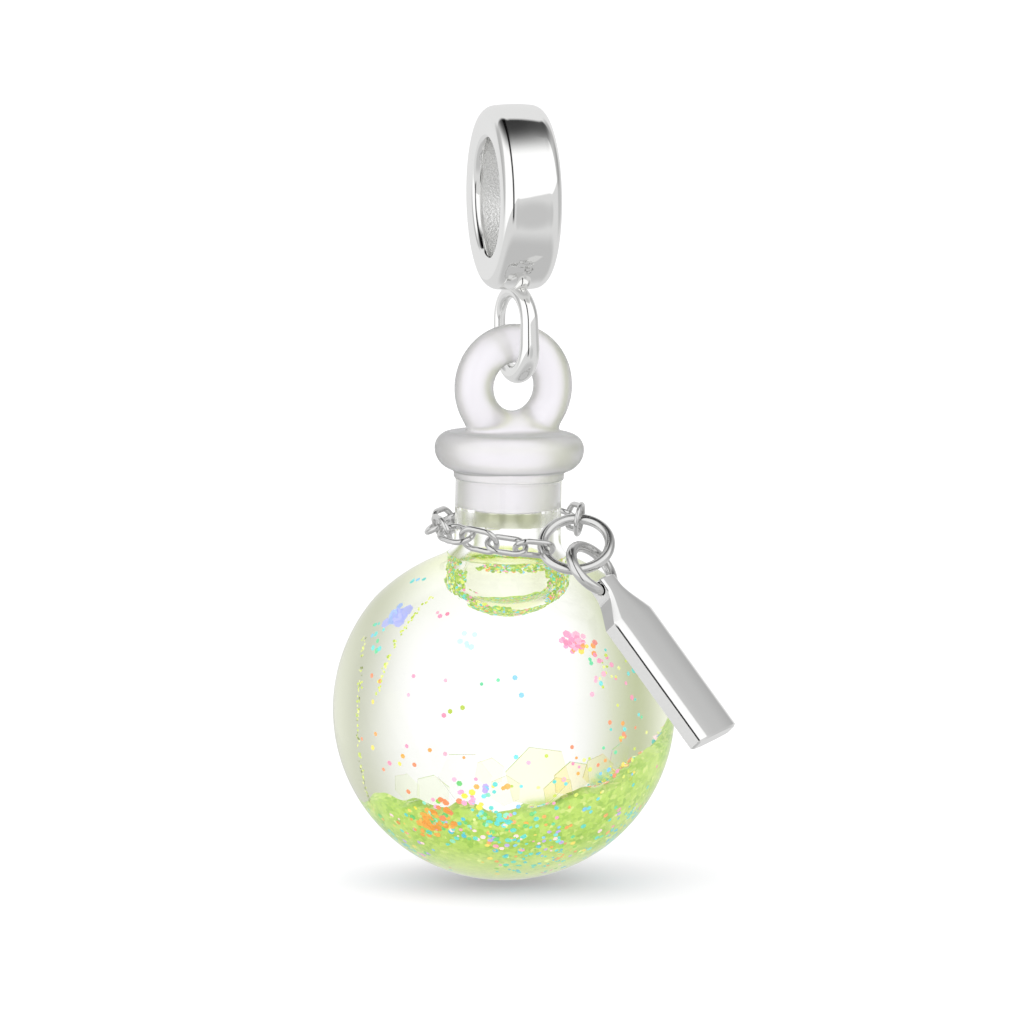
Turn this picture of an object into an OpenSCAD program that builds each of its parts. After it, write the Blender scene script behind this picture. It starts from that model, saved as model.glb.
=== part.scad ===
// Bottle pendant: a round glass bottle of glitter fluid that swings from a large-hole silver bead.
// The origin is the centre of the bead's bore, X runs along that bore and +Z is up.
// Turns are degrees about Z, counted from the front (-Y) towards +X. Lengths are in millimetres.

/* [Bead and link] */
// Outer diameter of the bead that threads on the bracelet
bead_d = 7.08; // [6.6:0.02:8]
// Width of the bead along its bore
bead_w = 2.3; // [2:0.05:3]
// Radius of the bead's rounded outer corners
bead_corner = 0.5; // [0.3:0.05:0.7]
// Diameter of the bead's bore
bead_bore = 4.5; // [4:0.1:5]
// Diameter of the bore's polished lip at the bead's faces
bead_lip = 4.64; // [4.6:0.02:5.2]
// Width of the bead at its lip, where its faces are a little hollow
lip_w = 2.07; // [1.8:0.01:2.3]
// Length of the bore between its two lips
bore_len = 1.4; // [1:0.1:1.7]
// Wire diameter of the link below the bead
link_wire = 0.56; // [0.45:0.01:0.65]
// Outer width of the link
link_w = 2.96; // [2.8:0.02:3.6]
// Height of the link from its top to its bottom
link_h = 3.67; // [3.5:0.01:4.4]
// How far the link's top is sunk in the bead, where it is soldered
link_sunk = 0.25; // [0.15:0.05:0.4]
// Turn of the link's plane
link_turn = 15; // [0:1:25]

/* [Stopper] */
// Diameter of the glass ring's rod
eye_rod = 1.48; // [1.2:0.02:1.6]
// Diameter of the hole in the glass ring
eye_hole = 1.84; // [1.7:0.02:2.2]
// Turn of the axis of that hole, which is also the swing's axis
eye_turn = 12; // [0:1:20]
// Gap between the link's wire and the glass ring that hangs on it
hang_gap = 0.08; // [0.05:0.01:0.15]
// How far the glass ring is sunk in the stopper's flange
eye_sunk = 0.66; // [0.5:0.02:0.8]
// How far the bottle's axis lies beside the middle of the glass ring
eye_shift = 0.12; // [0:0.01:0.2]
// Diameter of the flange
flange_d = 5.7; // [5.2:0.05:6.2]
// Radius of the flange's rounded upper edge
flange_edge = 0.62; // [0.5:0.02:0.7]
// Radius of the fuller round below the flange's widest line
flange_under = 0.86; // [0.7:0.02:1]
// Height of the flange and its collar above the bottle's mouth
flange_h = 1.8; // [1.7:0.05:2.2]
// Diameter of the collar between flange and mouth
collar_d = 4.2; // [4.1:0.02:4.4]
// Length of the plug inside the bottle's neck
plug_len = 1.2; // [0.8:0.05:1.6]
// Gap round the plug
plug_gap = 0.03; // [0.02:0.01:0.06]
// Gap between the collar and the bottle's mouth
mouth_gap = 0.03; // [0.02:0.01:0.06]

/* [Bottle] */
// Diameter of the round body
globe_d = 13.1; // [12:0.1:14.5]
// Radius of the flatter curve of the shoulder
shoulder_r = 6.9; // [6.85:0.05:7.4]
// How far that curve's centre lies below the globe's centre
shoulder_drop = 0.53; // [0.4:0.01:0.6]
// How much of the globe's bottom is flattened
foot_flat = 0.08; // [0.04:0.01:0.15]
// Outer diameter of the neck
neck_d = 4.06; // [3.9:0.02:4.2]
// Diameter of the neck's bore
neck_bore = 2.6; // [2.3:0.05:2.8]
// Height from the globe's centre to the mouth
mouth_h = 8.85; // [8.6:0.05:10]
// Radius of the fillet between neck and shoulder
neck_fillet = 0.7; // [0.5:0.05:0.9]
// Glass thickness of the globe
globe_wall = 0.75; // [0.5:0.05:1]
// How far the bottle leans aside from straight down, because of the charm's weight
hang_tilt = 1.3; // [0:0.1:2]

/* [Filling] */
// Gap between the fluid, the glitter and the glass
fill_gap = 0.02; // [0.01:0.01:0.04]
// Height of the fluid's rim over the globe's centre, where a bubble of air fills the neck above it
fill_h = 5.2; // [4.8:0.05:7.2]
// Radius of that bubble where it bulges down into the fluid
bubble_r = 1.85; // [1.1:0.05:2.1]
// Height of the bubble's round bottom, and of the straighter side above it
bubble_round = 1.25; // [0.2:0.05:1.8]
// Depth of the settled glitter in the middle
bed_depth = 2.4; // [1:0.1:3]
// Slope of the settled glitter, higher on the right
bed_slope = 10; // [0:1:15]

/* [Neck chain] */
// Wire diameter of the chain's links
chain_wire = 0.22; // [0.18:0.01:0.25]
// Outer length of a chain link
chain_link_l = 1.68; // [1.6:0.01:1.8]
// Outer width of a chain link
chain_link_w = 1.14; // [1.08:0.02:1.2]
// Play between two links
chain_play = 0.17; // [0.12:0.01:0.2]
// Wire diameter of the small end ring
end_wire = 0.19; // [0.16:0.01:0.2]
// Outer diameter of the small end ring
end_ring_d = 1.34; // [1.3:0.02:1.4]

/* [Charm] */
// Outer diameter of the charm ring
charm_ring_d = 2.96; // [2.9:0.02:3.2]
// Wire diameter of the charm ring
charm_wire = 0.4; // [0.34:0.01:0.42]
// Turn of the charm ring's face
charm_turn = -18.2; // [-22:0.2:-15]
// Tilt of the charm ring from lying flat
charm_tilt = 43; // [40:0.5:46]
// Outer diameter of the tag ring
tag_ring_d = 2.42; // [2.38:0.02:2.7]
// Wire diameter of the tag ring
tag_wire = 0.42; // [0.36:0.01:0.44]
// Turn of the tag ring's middle
tag_ring_turn = 32.4; // [31:0.2:34]
// How far the tag ring's middle lies out from the neck's surface
tag_ring_reach = 2.45; // [2.4:0.02:2.8]
// How far the tag ring's middle lies off the globe's surface
tag_ring_lift = 0.81; // [0.79:0.01:1]
// Length of the bottle-shaped tag
tag_l = 7.4; // [6:0.1:8]
// Width of the tag's body
tag_w = 2.2; // [1.8:0.05:2.4]
// Thickness of the tag
tag_t = 0.84; // [0.8:0.02:1]
// Width of the tag's neck
tag_neck_w = 0.8; // [0.75:0.05:1]
// Length of that neck
tag_neck_l = 0.5; // [0.4:0.02:0.7]
// Length of the tag's shoulder, where the neck widens to the body
tag_shoulder_l = 1.32; // [1:0.02:1.8]
// Distance from the tag's top to its cross hole
tag_hole_in = 0.4; // [0.38:0.02:0.6]
// Gap round the ring's wire in that hole
tag_hole_gap = 0.05; // [0.05:0.01:0.08]
// Turn of the direction in which the tag hangs
tag_turn = 51.4; // [49:0.2:54]
// Lean of the tag from straight down
tag_lean = 40.6; // [40:0.2:46]
// Twist of the tag about its own length
tag_twist = -20.2; // [-24:0.2:-16]

/* [Hidden] */
$fn = 96;
SILVER = "silver";
GLASS = [0.9, 0.94, 0.95, 0.4];
eps = 0.01;
bead_r = bead_d / 2;
lip_r = bead_lip / 2;
bore_r = bead_bore / 2;
// The link's centre line is an upright oval: two half circles and two straight sides
link_end_r = (link_w - link_wire) / 2;
link_top_z = -bead_r + link_sunk - link_wire / 2;
link_bottom_z = link_top_z - (link_h - link_wire);
// The glass ring hangs on the link's lower wire, which is the swing's axis
pivot_z = link_bottom_z;
eye_r = (eye_hole + eye_rod) / 2;
eye_z = pivot_z + link_wire / 2 + hang_gap - eye_hole / 2;
flange_top_z = eye_z - eye_r - eye_rod / 2 + eye_sunk;
mouth_z = flange_top_z - flange_h;
globe_r = globe_d / 2;
globe_z = mouth_z - mouth_h;
foot_z = globe_z - globe_r + foot_flat;
neck_r = neck_d / 2;
plug_end_z = mouth_z - plug_len;
// The slanted top of the glitter lies this far below the globe's centre on its axis
bed_top_z = foot_z + globe_wall + bed_depth;
top_h = shoulder_r - shoulder_drop;
// What hangs leans about the swing's axis, and the bottle stands beside the middle of its glass ring
swing_axis = [sin(eye_turn), -cos(eye_turn), 0];
axis_shift = -eye_shift * [cos(eye_turn), sin(eye_turn), 0];

module hung() {
    translate([0, 0, pivot_z]) rotate(a = -hang_tilt, v = swing_axis)
        translate([0, 0, -pivot_z]) children();
}
module on_axis() {
    hung() translate(axis_shift) children();
}

// Small vector helpers
function unit(v) = v / norm(v);
function turned(v, a) = [v.x * cos(a) - v.y * sin(a), v.x * sin(a) + v.y * cos(a), v.z];
function leant(v, a) = [v.x, v.y * cos(a) - v.z * sin(a), v.y * sin(a) + v.z * cos(a)];
// A point or direction of the tag's own frame, whose Z runs up its length from the cross hole
function tag_dir(v) = turned(leant(turned(v, tag_twist), -tag_lean), tag_turn);
// A point or direction of the charm ring's own frame, whose Z is the ring's axis
function charm_dir(v) = turned(leant(v, charm_tilt), charm_turn);

// The tag ring sits off the globe and out from the neck, and the tag and charm ring follow from it.
// These places are measured from the globe's centre, on the bottle's own axis.
tag_ring_r = (tag_ring_d - tag_wire) / 2;
tag_ring_out = neck_r + tag_ring_reach;
tag_ring_up = sqrt(pow(globe_r + tag_ring_lift, 2) - pow(tag_ring_out, 2));
tag_ring_c = turned([0, -tag_ring_out, tag_ring_up], tag_ring_turn);
// Skew of the tag ring's plane from the tag's face
tag_ring_skew = 12;
tag_hole_c = tag_ring_c - tag_dir([0, 0, tag_ring_r]);
// The charm ring's wire runs through the tag ring a little above its middle
charm_pass = tag_wire * [-0.62, 0, 0.2];
charm_hook_a = -68.8;
charm_r = (charm_ring_d - charm_wire) / 2;
charm_c = tag_ring_c + tag_dir(charm_pass)
    - charm_r * charm_dir([cos(charm_hook_a), sin(charm_hook_a), 0]);

// Chosen points of the chain's route: its turn, and in link widths its distance out from the neck
// and its height over the shoulder's top
route = [
    [-13, 0.69, 0.2], [-41, 0.685, 0.37], [-73, 0.635, 0.535], [-108, 0.53, 0.585],
    [-148, 0.52, 0.69], [-188, 0.52, 0.74], [-228, 0.51, 0.81], [-263, 0.54, 0.88], [-293, 0.7, 0.885],
];
// Where the chain's two ends hook into the charm ring, as angles round that ring
first_hook_a = 193.8;
last_hook_a = 90.2;
end_ring_roll = -4;
// How far each link is rolled about the chain's line, from standing upright towards lying flat
link_rolls = [-53, 59, -29, 63, -23, 60, -30, 62, -27, 56, -29, 60, -11, 84];
chain_inner_l = chain_link_l - 2 * chain_wire;
chain_pitch = chain_inner_l - chain_play;
function hook(a) = charm_c + charm_r * charm_dir([cos(a), sin(a), 0]);
function route_point(p) =
    turned([0, -(neck_r + p[1] * chain_link_w), top_h + p[2] * chain_link_w], p[0]);
first_hook = hook(first_hook_a);
last_hook = hook(last_hook_a);
stops = concat([first_hook], [for (p = route) route_point(p)], [last_hook]);
// A smooth curve through the stops, each stretch in equal steps
steps = 12;
function stop(i) = stops[max(0, min(len(stops) - 1, i))];
function blend(a, b, c, d, t) = 0.5 * (2 * b + (c - a) * t + (2 * a - 5 * b + 4 * c - d) * t * t
    + (3 * b - a - 3 * c + d) * t * t * t);
line = concat([for (i = [0:len(stops) - 2]) for (k = [0:steps - 1])
    blend(stop(i - 1), stop(i), stop(i + 1), stop(i + 2), k / steps)], [last_hook]);
gone = [for (i = 0, s = 0; i < len(line); s = s + (i + 1 < len(line) ? norm(line[i + 1] - line[i]) : 0),
    i = i + 1) s];
line_len = gone[len(gone) - 1];
function along(s, k) = lookup(s, [for (i = [0:len(line) - 1]) [gone[i], line[i][k]]]);
function at(s) = [along(s, 0), along(s, 1), along(s, 2)];
// The first link holds the charm ring's wire, and the last is held by the end ring
ring_clear = 0.4 * chain_play;
end_ring_r = (end_ring_d - end_wire) / 2;
first_s = chain_inner_l / 2 - charm_wire / 2 - ring_clear;
end_ring_s = end_ring_r - end_wire / 2 - charm_wire / 2 - ring_clear;
last_s = 2 * end_ring_r - end_wire - charm_wire / 2 - ring_clear - chain_play
    + (chain_link_l - chain_wire) / 2 - chain_wire / 2;
chain_run = line_len - first_s - last_s;
link_count = round(chain_run / chain_pitch) + 1;
chain_step = chain_run / (link_count - 1);

// A wire of round section, bent to the closed centre line pts in the XY plane
module wire_loop(pts, wire_d, sides = 6) {
    n = len(pts);
    ahead = [for (i = [0:n - 1]) unit(pts[(i + 1) % n] - pts[(i + n - 1) % n])];
    skin = [for (i = [0:n - 1]) for (j = [0:sides - 1]) let (a = 360 * (j + 0.5) / sides)
        pts[i] + wire_d / 2 * (cos(a) * [ahead[i].y, -ahead[i].x, 0] + sin(a) * [0, 0, 1])];
    faces = [for (i = [0:n - 1]) for (j = [0:sides - 1])
        let (a = i * sides + j, b = i * sides + (j + 1) % sides,
             c = ((i + 1) % n) * sides + (j + 1) % sides, d = ((i + 1) % n) * sides + j)
        each [[a, b, c], [a, c, d]]];
    polyhedron(points = skin, faces = faces);
}

// Centre line of an oval link that lies along X, in an even number of points
function oval_line(l, w, wire_d, half = 7) = let (r = (w - wire_d) / 2, s = (l - w) / 2)
    [for (e = [0, 1]) for (k = [0:half - 1]) let (a = -90 + 180 * k / (half - 1) + 180 * e)
        [r * cos(a) + (e == 0 ? s : -s), r * sin(a), 0]];

// Puts a flat piece at p with its X along ahead, and its Z outwards from the axis, rolled upwards
module placed(p, ahead, roll) {
    x = unit(ahead);
    out = unit([p.x, p.y, 0] - ([p.x, p.y, 0] * x) * x);
    side = cross(out, x);
    z = cos(roll) * out + sin(roll) * side * (side.z < 0 ? -1 : 1);
    y = cross(z, x);
    multmatrix([[x.x, y.x, z.x, p.x], [x.y, y.y, z.y, p.y], [x.z, y.z, z.z, p.z], [0, 0, 0, 1]])
        children();
}

// Half section of the bead: hollow faces, rounded corners and a flat band
module bead_section() {
    ring_r = bead_r - bead_corner;
    polygon([[bore_r, -bore_len / 2], [lip_r, -lip_w / 2], [ring_r, -bead_w / 2],
        [ring_r, bead_w / 2], [lip_r, lip_w / 2], [bore_r, bore_len / 2]]);
    for (s = [-1, 1]) translate([ring_r, s * (bead_w / 2 - bead_corner)]) circle(bead_corner);
    translate([ring_r - eps, -bead_w / 2 + bead_corner])
        square([bead_corner + eps, bead_w - 2 * bead_corner]);
}

module bail() color(SILVER) {
    rotate([0, 90, 0]) rotate_extrude() bead_section();
    straight = link_h - link_wire - 2 * link_end_r;
    difference() {
        rotate([0, 0, link_turn]) translate([0, 0, link_bottom_z + link_end_r]) rotate([90, 0, 90]) {
            rotate([0, 0, 180]) rotate_extrude(angle = 180)
                translate([link_end_r, 0]) circle(d = link_wire);
            translate([0, straight, 0]) rotate_extrude(angle = 180)
                translate([link_end_r, 0]) circle(d = link_wire);
            for (s = [-1, 1]) translate([s * link_end_r, 0, 0]) rotate([-90, 0, 0])
                cylinder(d = link_wire, h = straight);
        }
        rotate([0, 90, 0]) cylinder(r = bead_r - bead_corner, h = bead_w, center = true);
    }
}

// Half section of the stopper's flange, collar and plug, with the height measured up from the mouth
module stopper_section() {
    edge_y = flange_h - flange_edge;
    intersection() {
        translate([flange_d / 2 - flange_edge, edge_y]) circle(flange_edge);
        translate([0, edge_y]) square(flange_d);
    }
    intersection() {
        translate([flange_d / 2 - flange_under, edge_y]) circle(flange_under);
        translate([0, edge_y - flange_d]) square(flange_d);
    }
    translate([0, mouth_gap]) square([flange_d / 2 - flange_under, flange_h - mouth_gap]);
    translate([0, edge_y]) square([flange_d / 2 - flange_edge, flange_edge]);
    translate([0, mouth_gap]) square([collar_d / 2, edge_y]);
    translate([0, -plug_len]) square([neck_bore / 2 - plug_gap, plug_len + 2 * mouth_gap]);
}

module stopper() color(GLASS) {
    on_axis() translate([0, 0, mouth_z]) rotate_extrude() difference() {
        stopper_section();
        translate([neck_bore / 2 - plug_gap, -eps]) square([neck_d, mouth_gap + eps]);
    }
    hung() translate([0, 0, eye_z]) rotate([0, 0, eye_turn]) rotate([90, 0, 0])
        rotate_extrude() translate([eye_r, 0]) circle(d = eye_rod);
}

// Half section of the globe and neck, drawn in by inset, up to height top over the globe's centre
module flask_section(inset, tube_r, top) {
    big_r = shoulder_r - inset;
    fillet = neck_fillet + inset;
    fillet_y = -shoulder_drop + sqrt(pow(big_r + fillet, 2) - pow(tube_r + fillet, 2));
    // A point just inside the globe, on the line between the centres of its shoulder and the fillet
    foot = [0, -shoulder_drop] + (big_r - 10 * eps) * unit([tube_r + fillet, fillet_y + shoulder_drop]);
    intersection() {
        circle(globe_r - inset);
        translate([0, -shoulder_drop]) circle(big_r);
        translate([0, -globe_r + foot_flat + inset]) square(2 * globe_r);
    }
    square([tube_r, top]);
    difference() {
        polygon([[0, foot.y], foot, [tube_r + fillet, fillet_y], [0, fillet_y]]);
        translate([tube_r + fillet, fillet_y]) circle(fillet - eps / 2);
    }
}

module bottle() color(GLASS) on_axis() translate([0, 0, globe_z]) rotate_extrude() difference() {
    flask_section(0, neck_r, mouth_h);
    flask_section(globe_wall, neck_bore / 2, mouth_h + neck_bore);
}

// The whole filling, less a gap all round and the bubble
module filling() translate([0, 0, globe_z]) rotate_extrude() difference() {
    intersection() {
        flask_section(globe_wall + fill_gap, neck_bore / 2 - fill_gap, fill_h);
        translate([0, -globe_d]) square([globe_d, globe_d + fill_h]);
    }
    translate([0, fill_h - bubble_round]) {
        scale([bubble_r, bubble_round]) circle(1);
        square([bubble_r, bubble_r]);
    }
}

// Everything below the slanted top of the settled glitter, drawn down by gap
module below_bed(gap) {
    translate([0, 0, bed_top_z - gap]) rotate([0, -bed_slope, 0])
        translate([-globe_d, -globe_d, -globe_d]) cube([2 * globe_d, 2 * globe_d, globe_d]);
}

module liquid() color([0.93, 0.97, 0.8, 0.4]) on_axis() difference() {
    filling();
    below_bed(0);
}

module glitter_bed() color("yellowgreen") on_axis() intersection() {
    filling();
    below_bed(fill_gap);
}

module neck_chain() color(SILVER) on_axis() translate([0, 0, globe_z]) {
    for (i = [0:link_count - 1]) {
        s = first_s + i * chain_step;
        placed(at(s), at(s + chain_link_l / 4) - at(s - chain_link_l / 4), link_rolls[i % len(link_rolls)])
            wire_loop(oval_line(chain_link_l, chain_link_w, chain_wire), chain_wire);
    }
    s = line_len - end_ring_s;
    placed(at(s), at(line_len) - at(s - end_ring_d / 4), end_ring_roll)
        wire_loop(oval_line(end_ring_d, end_ring_d, end_wire, 8), end_wire);
}

module charm_ring() color(SILVER) on_axis() translate([0, 0, globe_z]) translate(charm_c)
    rotate([0, 0, charm_turn]) rotate([charm_tilt, 0, 0])
    rotate_extrude() translate([charm_r, 0]) circle(d = charm_wire);

// The tag's own frame, at its cross hole
module tag_frame() on_axis() translate([0, 0, globe_z]) translate(tag_hole_c)
    rotate([0, 0, tag_turn]) rotate([-tag_lean, 0, 0]) rotate([0, 0, tag_twist]) children();

module tag_ring_shape(d) translate([0, 0, tag_ring_r]) rotate([0, 0, tag_ring_skew])
    rotate([90, 0, 0]) rotate_extrude() translate([tag_ring_r, 0]) circle(d = d);

module tag_ring() color(SILVER) tag_frame() tag_ring_shape(tag_wire);

// Outline of the tag: a straight neck, a shoulder that swells to a faint corner, and a straight body
function swell(t) = 0.75 * pow(t, 1.4) + 0.25 * t * t * (3 - 2 * t);
module tag_outline() {
    shoulder = [for (k = [0:8]) let (t = k / 8)
        [tag_neck_w / 2 + (tag_w - tag_neck_w) / 2 * swell(t), -tag_neck_l - tag_shoulder_l * t]];
    right = concat([[tag_neck_w / 2, 0]], shoulder, [[tag_w / 2, -tag_l]]);
    polygon(concat(right, [for (k = [len(right) - 1:-1:0]) [-right[k].x, right[k].y]]));
}

module bottle_tag() color(SILVER) tag_frame() difference() {
    translate([0, tag_t / 2, tag_hole_in]) rotate([90, 0, 0]) linear_extrude(tag_t) tag_outline();
    tag_ring_shape(tag_wire + 2 * tag_hole_gap);
}

bail();
stopper();
bottle();
liquid();
glitter_bed();
neck_chain();
charm_ring();
tag_ring();
bottle_tag();
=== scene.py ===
# %% [markdown]
# # A bottle pendant
# A little round glass bottle of glitter fluid swings from a large-hole silver bead. A chain runs
# round its neck, and a flat silver tag hangs from the chain on two jump rings.
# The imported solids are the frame: they say where every piece sits and what moves. The shapes of this
# lesson are worked out again from the same few sizes, with finer surfaces, because glass and polished
# silver show every facet.

# %% Load the frame
from math import cos, degrees, radians, sin, sqrt

import bpy
import numpy as np
from mathutils import Matrix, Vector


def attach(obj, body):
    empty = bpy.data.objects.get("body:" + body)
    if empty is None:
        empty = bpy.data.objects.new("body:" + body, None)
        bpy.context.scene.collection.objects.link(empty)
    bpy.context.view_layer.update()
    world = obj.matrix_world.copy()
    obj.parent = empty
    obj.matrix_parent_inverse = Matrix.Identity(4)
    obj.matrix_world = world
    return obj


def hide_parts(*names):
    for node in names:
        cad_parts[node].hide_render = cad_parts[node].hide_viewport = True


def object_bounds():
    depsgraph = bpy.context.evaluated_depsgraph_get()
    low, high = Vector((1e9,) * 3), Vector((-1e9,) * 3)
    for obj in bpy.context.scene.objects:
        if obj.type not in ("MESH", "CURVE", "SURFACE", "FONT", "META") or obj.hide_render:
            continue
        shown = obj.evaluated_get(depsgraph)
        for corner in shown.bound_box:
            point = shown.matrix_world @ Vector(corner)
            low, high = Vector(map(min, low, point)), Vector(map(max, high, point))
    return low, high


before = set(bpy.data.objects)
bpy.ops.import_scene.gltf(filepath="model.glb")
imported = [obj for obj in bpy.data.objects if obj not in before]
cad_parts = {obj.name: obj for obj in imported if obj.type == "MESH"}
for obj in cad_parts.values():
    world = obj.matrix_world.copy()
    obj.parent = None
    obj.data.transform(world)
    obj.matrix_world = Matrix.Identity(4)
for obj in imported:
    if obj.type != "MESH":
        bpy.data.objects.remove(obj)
cad_box = [list(corner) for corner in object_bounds()]
MM = 0.001
rng = np.random.default_rng(2852)
print("box of the solids, mm:", np.round(np.array(cad_box) / MM, 2).tolist())

# %% [markdown]
# ## Sizes
# These are the sizes of the real pendant in millimetres and degrees, the same as in the part's source.
# Turns are counted about Z from the front towards +X. What hangs below the link leans a little about
# the swing's axis, so all of it is worked out on the bottle's own upright axis and then leant.

# %% Sizes of the metal and the glass
BEAD_R, BEAD_CORNER, BORE_R = 3.54, 0.5, 2.25
BEAD_HALF, LIP_HALF, BORE_HALF = 1.15, 1.035, 0.7
LINK_WIRE, LINK_W, LINK_H, LINK_SUNK, LINK_TURN = 0.56, 2.96, 3.67, 0.25, 15
EYE_ROD, EYE_HOLE, EYE_TURN, EYE_SUNK, EYE_SHIFT, HANG_GAP = 1.48, 1.84, 12, 0.66, 0.12, 0.08
FLANGE_R, FLANGE_EDGE, FLANGE_UNDER, FLANGE_H = 2.85, 0.62, 0.86, 1.8
COLLAR_R, PLUG_LEN, MOUTH_GAP = 2.1, 1.2, 0.03
GLOBE_R, SHOULDER_R, SHOULDER_DROP, FOOT_FLAT, WALL = 6.55, 6.9, 0.53, 0.08, 0.75
NECK_R, NECK_BORE_R, MOUTH_H, NECK_FILLET, HANG_TILT = 2.03, 1.3, 8.85, 0.7, 1.3
FILL_GAP, FILL_H, BUBBLE_R, BUBBLE_ROUND, BED_DEPTH, BED_SLOPE = 0.02, 5.2, 1.85, 1.25, 2.4, 10

link_end_r = (LINK_W - LINK_WIRE) / 2
pivot_z = -BEAD_R + LINK_SUNK - LINK_WIRE / 2 - (LINK_H - LINK_WIRE)
eye_r = (EYE_HOLE + EYE_ROD) / 2
eye_z = pivot_z + LINK_WIRE / 2 + HANG_GAP - EYE_HOLE / 2
mouth_z = eye_z - eye_r - EYE_ROD / 2 + EYE_SUNK - FLANGE_H
globe_z = mouth_z - MOUTH_H
print("pivot, mouth and globe heights:", round(pivot_z, 3), round(mouth_z, 3), round(globe_z, 3))

# %% Sizes of the chain, the rings and the tag
CHAIN_WIRE, CHAIN_L, CHAIN_W, CHAIN_PLAY = 0.22, 1.68, 1.14, 0.17
END_WIRE, END_D, END_ROLL = 0.19, 1.34, -4
CHARM_D, CHARM_WIRE, CHARM_TURN, CHARM_TILT, CHARM_HOOK = 2.96, 0.4, -18.2, 43, -68.8
TAG_RING_D, TAG_RING_WIRE, TAG_RING_TURN, TAG_RING_SKEW = 2.42, 0.42, 32.4, 12
TAG_RING_REACH, TAG_RING_LIFT = 2.45, 0.81
TAG_L, TAG_W, TAG_T, TAG_NECK_W, TAG_NECK_L, TAG_SHOULDER_L = 7.4, 2.2, 0.84, 0.8, 0.5, 1.32
TAG_HOLE_IN, TAG_HOLE_GAP, TAG_TURN, TAG_LEAN, TAG_TWIST = 0.4, 0.05, 51.4, 40.6, -20.2
FIRST_HOOK, LAST_HOOK = 193.8, 90.2
# Chosen points of the chain's route: its turn, and in link widths its distance out from the neck
# and its height over the shoulder's top
ROUTE = [
    (-13, 0.69, 0.2), (-41, 0.685, 0.37), (-73, 0.635, 0.535), (-108, 0.53, 0.585),
    (-148, 0.52, 0.69), (-188, 0.52, 0.74), (-228, 0.51, 0.81), (-263, 0.54, 0.88), (-293, 0.7, 0.885),
]
# How far each link is rolled about the chain's line
LINK_ROLLS = [-53, 59, -29, 63, -23, 60, -30, 62, -27, 56, -29, 60, -11, 84]


# %% Turning and leaning points
def turned(points, angle):
    """x' = x cos a - y sin a, y' = x sin a + y cos a: a turn about Z by angle degrees."""
    p, a = np.asarray(points, float), radians(angle)
    x, y, z = p[..., 0], p[..., 1], p[..., 2]
    return np.stack([x * cos(a) - y * sin(a), x * sin(a) + y * cos(a), z], -1)


def leant(points, angle):
    """y' = y cos a - z sin a, z' = y sin a + z cos a: a turn about X by angle degrees."""
    p, a = np.asarray(points, float), radians(angle)
    x, y, z = p[..., 0], p[..., 1], p[..., 2]
    return np.stack([x, y * cos(a) - z * sin(a), y * sin(a) + z * cos(a)], -1)


def unit(v):
    """Each vector divided by its length."""
    v = np.asarray(v, float)
    return v / np.linalg.norm(v, axis=-1, keepdims=True)


def about(points, axis, angle):
    """A turn about the unit axis k by angle degrees: p cos a + (k x p) sin a + k (k.p)(1 - cos a)."""
    p, k, a = np.asarray(points, float), np.asarray(axis, float), radians(angle)
    return p * cos(a) + np.cross(k, p) * sin(a) + (p @ k)[..., None] * k * (1 - cos(a))


SWING_AXIS = np.array([sin(radians(EYE_TURN)), -cos(radians(EYE_TURN)), 0])
AXIS_SHIFT = -EYE_SHIFT * np.array([cos(radians(EYE_TURN)), sin(radians(EYE_TURN)), 0])
PIVOT = np.array([0, 0, pivot_z])


def hung(points):
    """Leans points by the hanging tilt about the swing's axis, through the pivot."""
    return about(np.asarray(points, float) - PIVOT, SWING_AXIS, -HANG_TILT) + PIVOT


def unhung(points):
    """Undoes the hanging tilt."""
    return about(np.asarray(points, float) - PIVOT, SWING_AXIS, HANG_TILT) + PIVOT


def from_globe(points):
    """From the globe's centre on the bottle's own axis to the part's frame."""
    return hung(np.asarray(points, float) + [0, 0, globe_z] + AXIS_SHIFT)


def to_mouth(points):
    """From the part's frame to the bottle's own axis, with the mouth at height 0."""
    return unhung(points) - AXIS_SHIFT - [0, 0, mouth_z]


print("globe centre, mm:", np.round(from_globe([0, 0, 0]), 3).tolist())


# %% [markdown]
# ## Turning arrays into pieces
# A piece could be modelled by hand, but this pendant is all round sections and bent wire, so each piece
# is a grid of points worked out at once with numpy. Three makers are enough: a section turned round an
# axis, a wire carried along a closed line, and a plate whose section changes along its length.

# %% Faces of a grid
def grid_faces(rows, cols, close_rows=False, close_cols=False):
    """Four-sided faces between point (i, j), (i, j+1), (i+1, j+1) and (i+1, j), with i and j wrapped."""
    i = np.arange(rows if close_rows else rows - 1)[:, None]
    j = np.arange(cols if close_cols else cols - 1)[None, :]
    a, b = i * cols + j, i * cols + (j + 1) % cols
    c, d = ((i + 1) % rows) * cols + (j + 1) % cols, ((i + 1) % rows) * cols + j
    return np.stack([a, b, c, d], -1).reshape(-1, 4)


def capped(grid):
    """A tube open at both ends: its rows close round, and each end gets a point at its mean and a fan."""
    rows, cols = grid.shape[:2]
    points = np.concatenate([grid.reshape(-1, 3), [grid[0].mean(0)], [grid[-1].mean(0)]])
    j = np.arange(cols)
    last = (rows - 1) * cols
    first_fan = np.stack([(j + 1) % cols, j, np.full(cols, rows * cols)], 1)
    last_fan = np.stack([last + j, last + (j + 1) % cols, np.full(cols, rows * cols + 1)], 1)
    return points, [grid_faces(rows, cols, close_cols=True), first_fan, last_fan]


def volume(points, faces):
    """Sum over triangles of a.(b x c) / 6, which is positive where faces point outwards."""
    total = 0.0
    for part in faces:
        a = points[part[:, 0]]
        for k in range(1, part.shape[1] - 1):
            total += np.einsum("ij,ij->i", a, np.cross(points[part[:, k]], points[part[:, k + 1]])).sum() / 6
    return total


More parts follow.
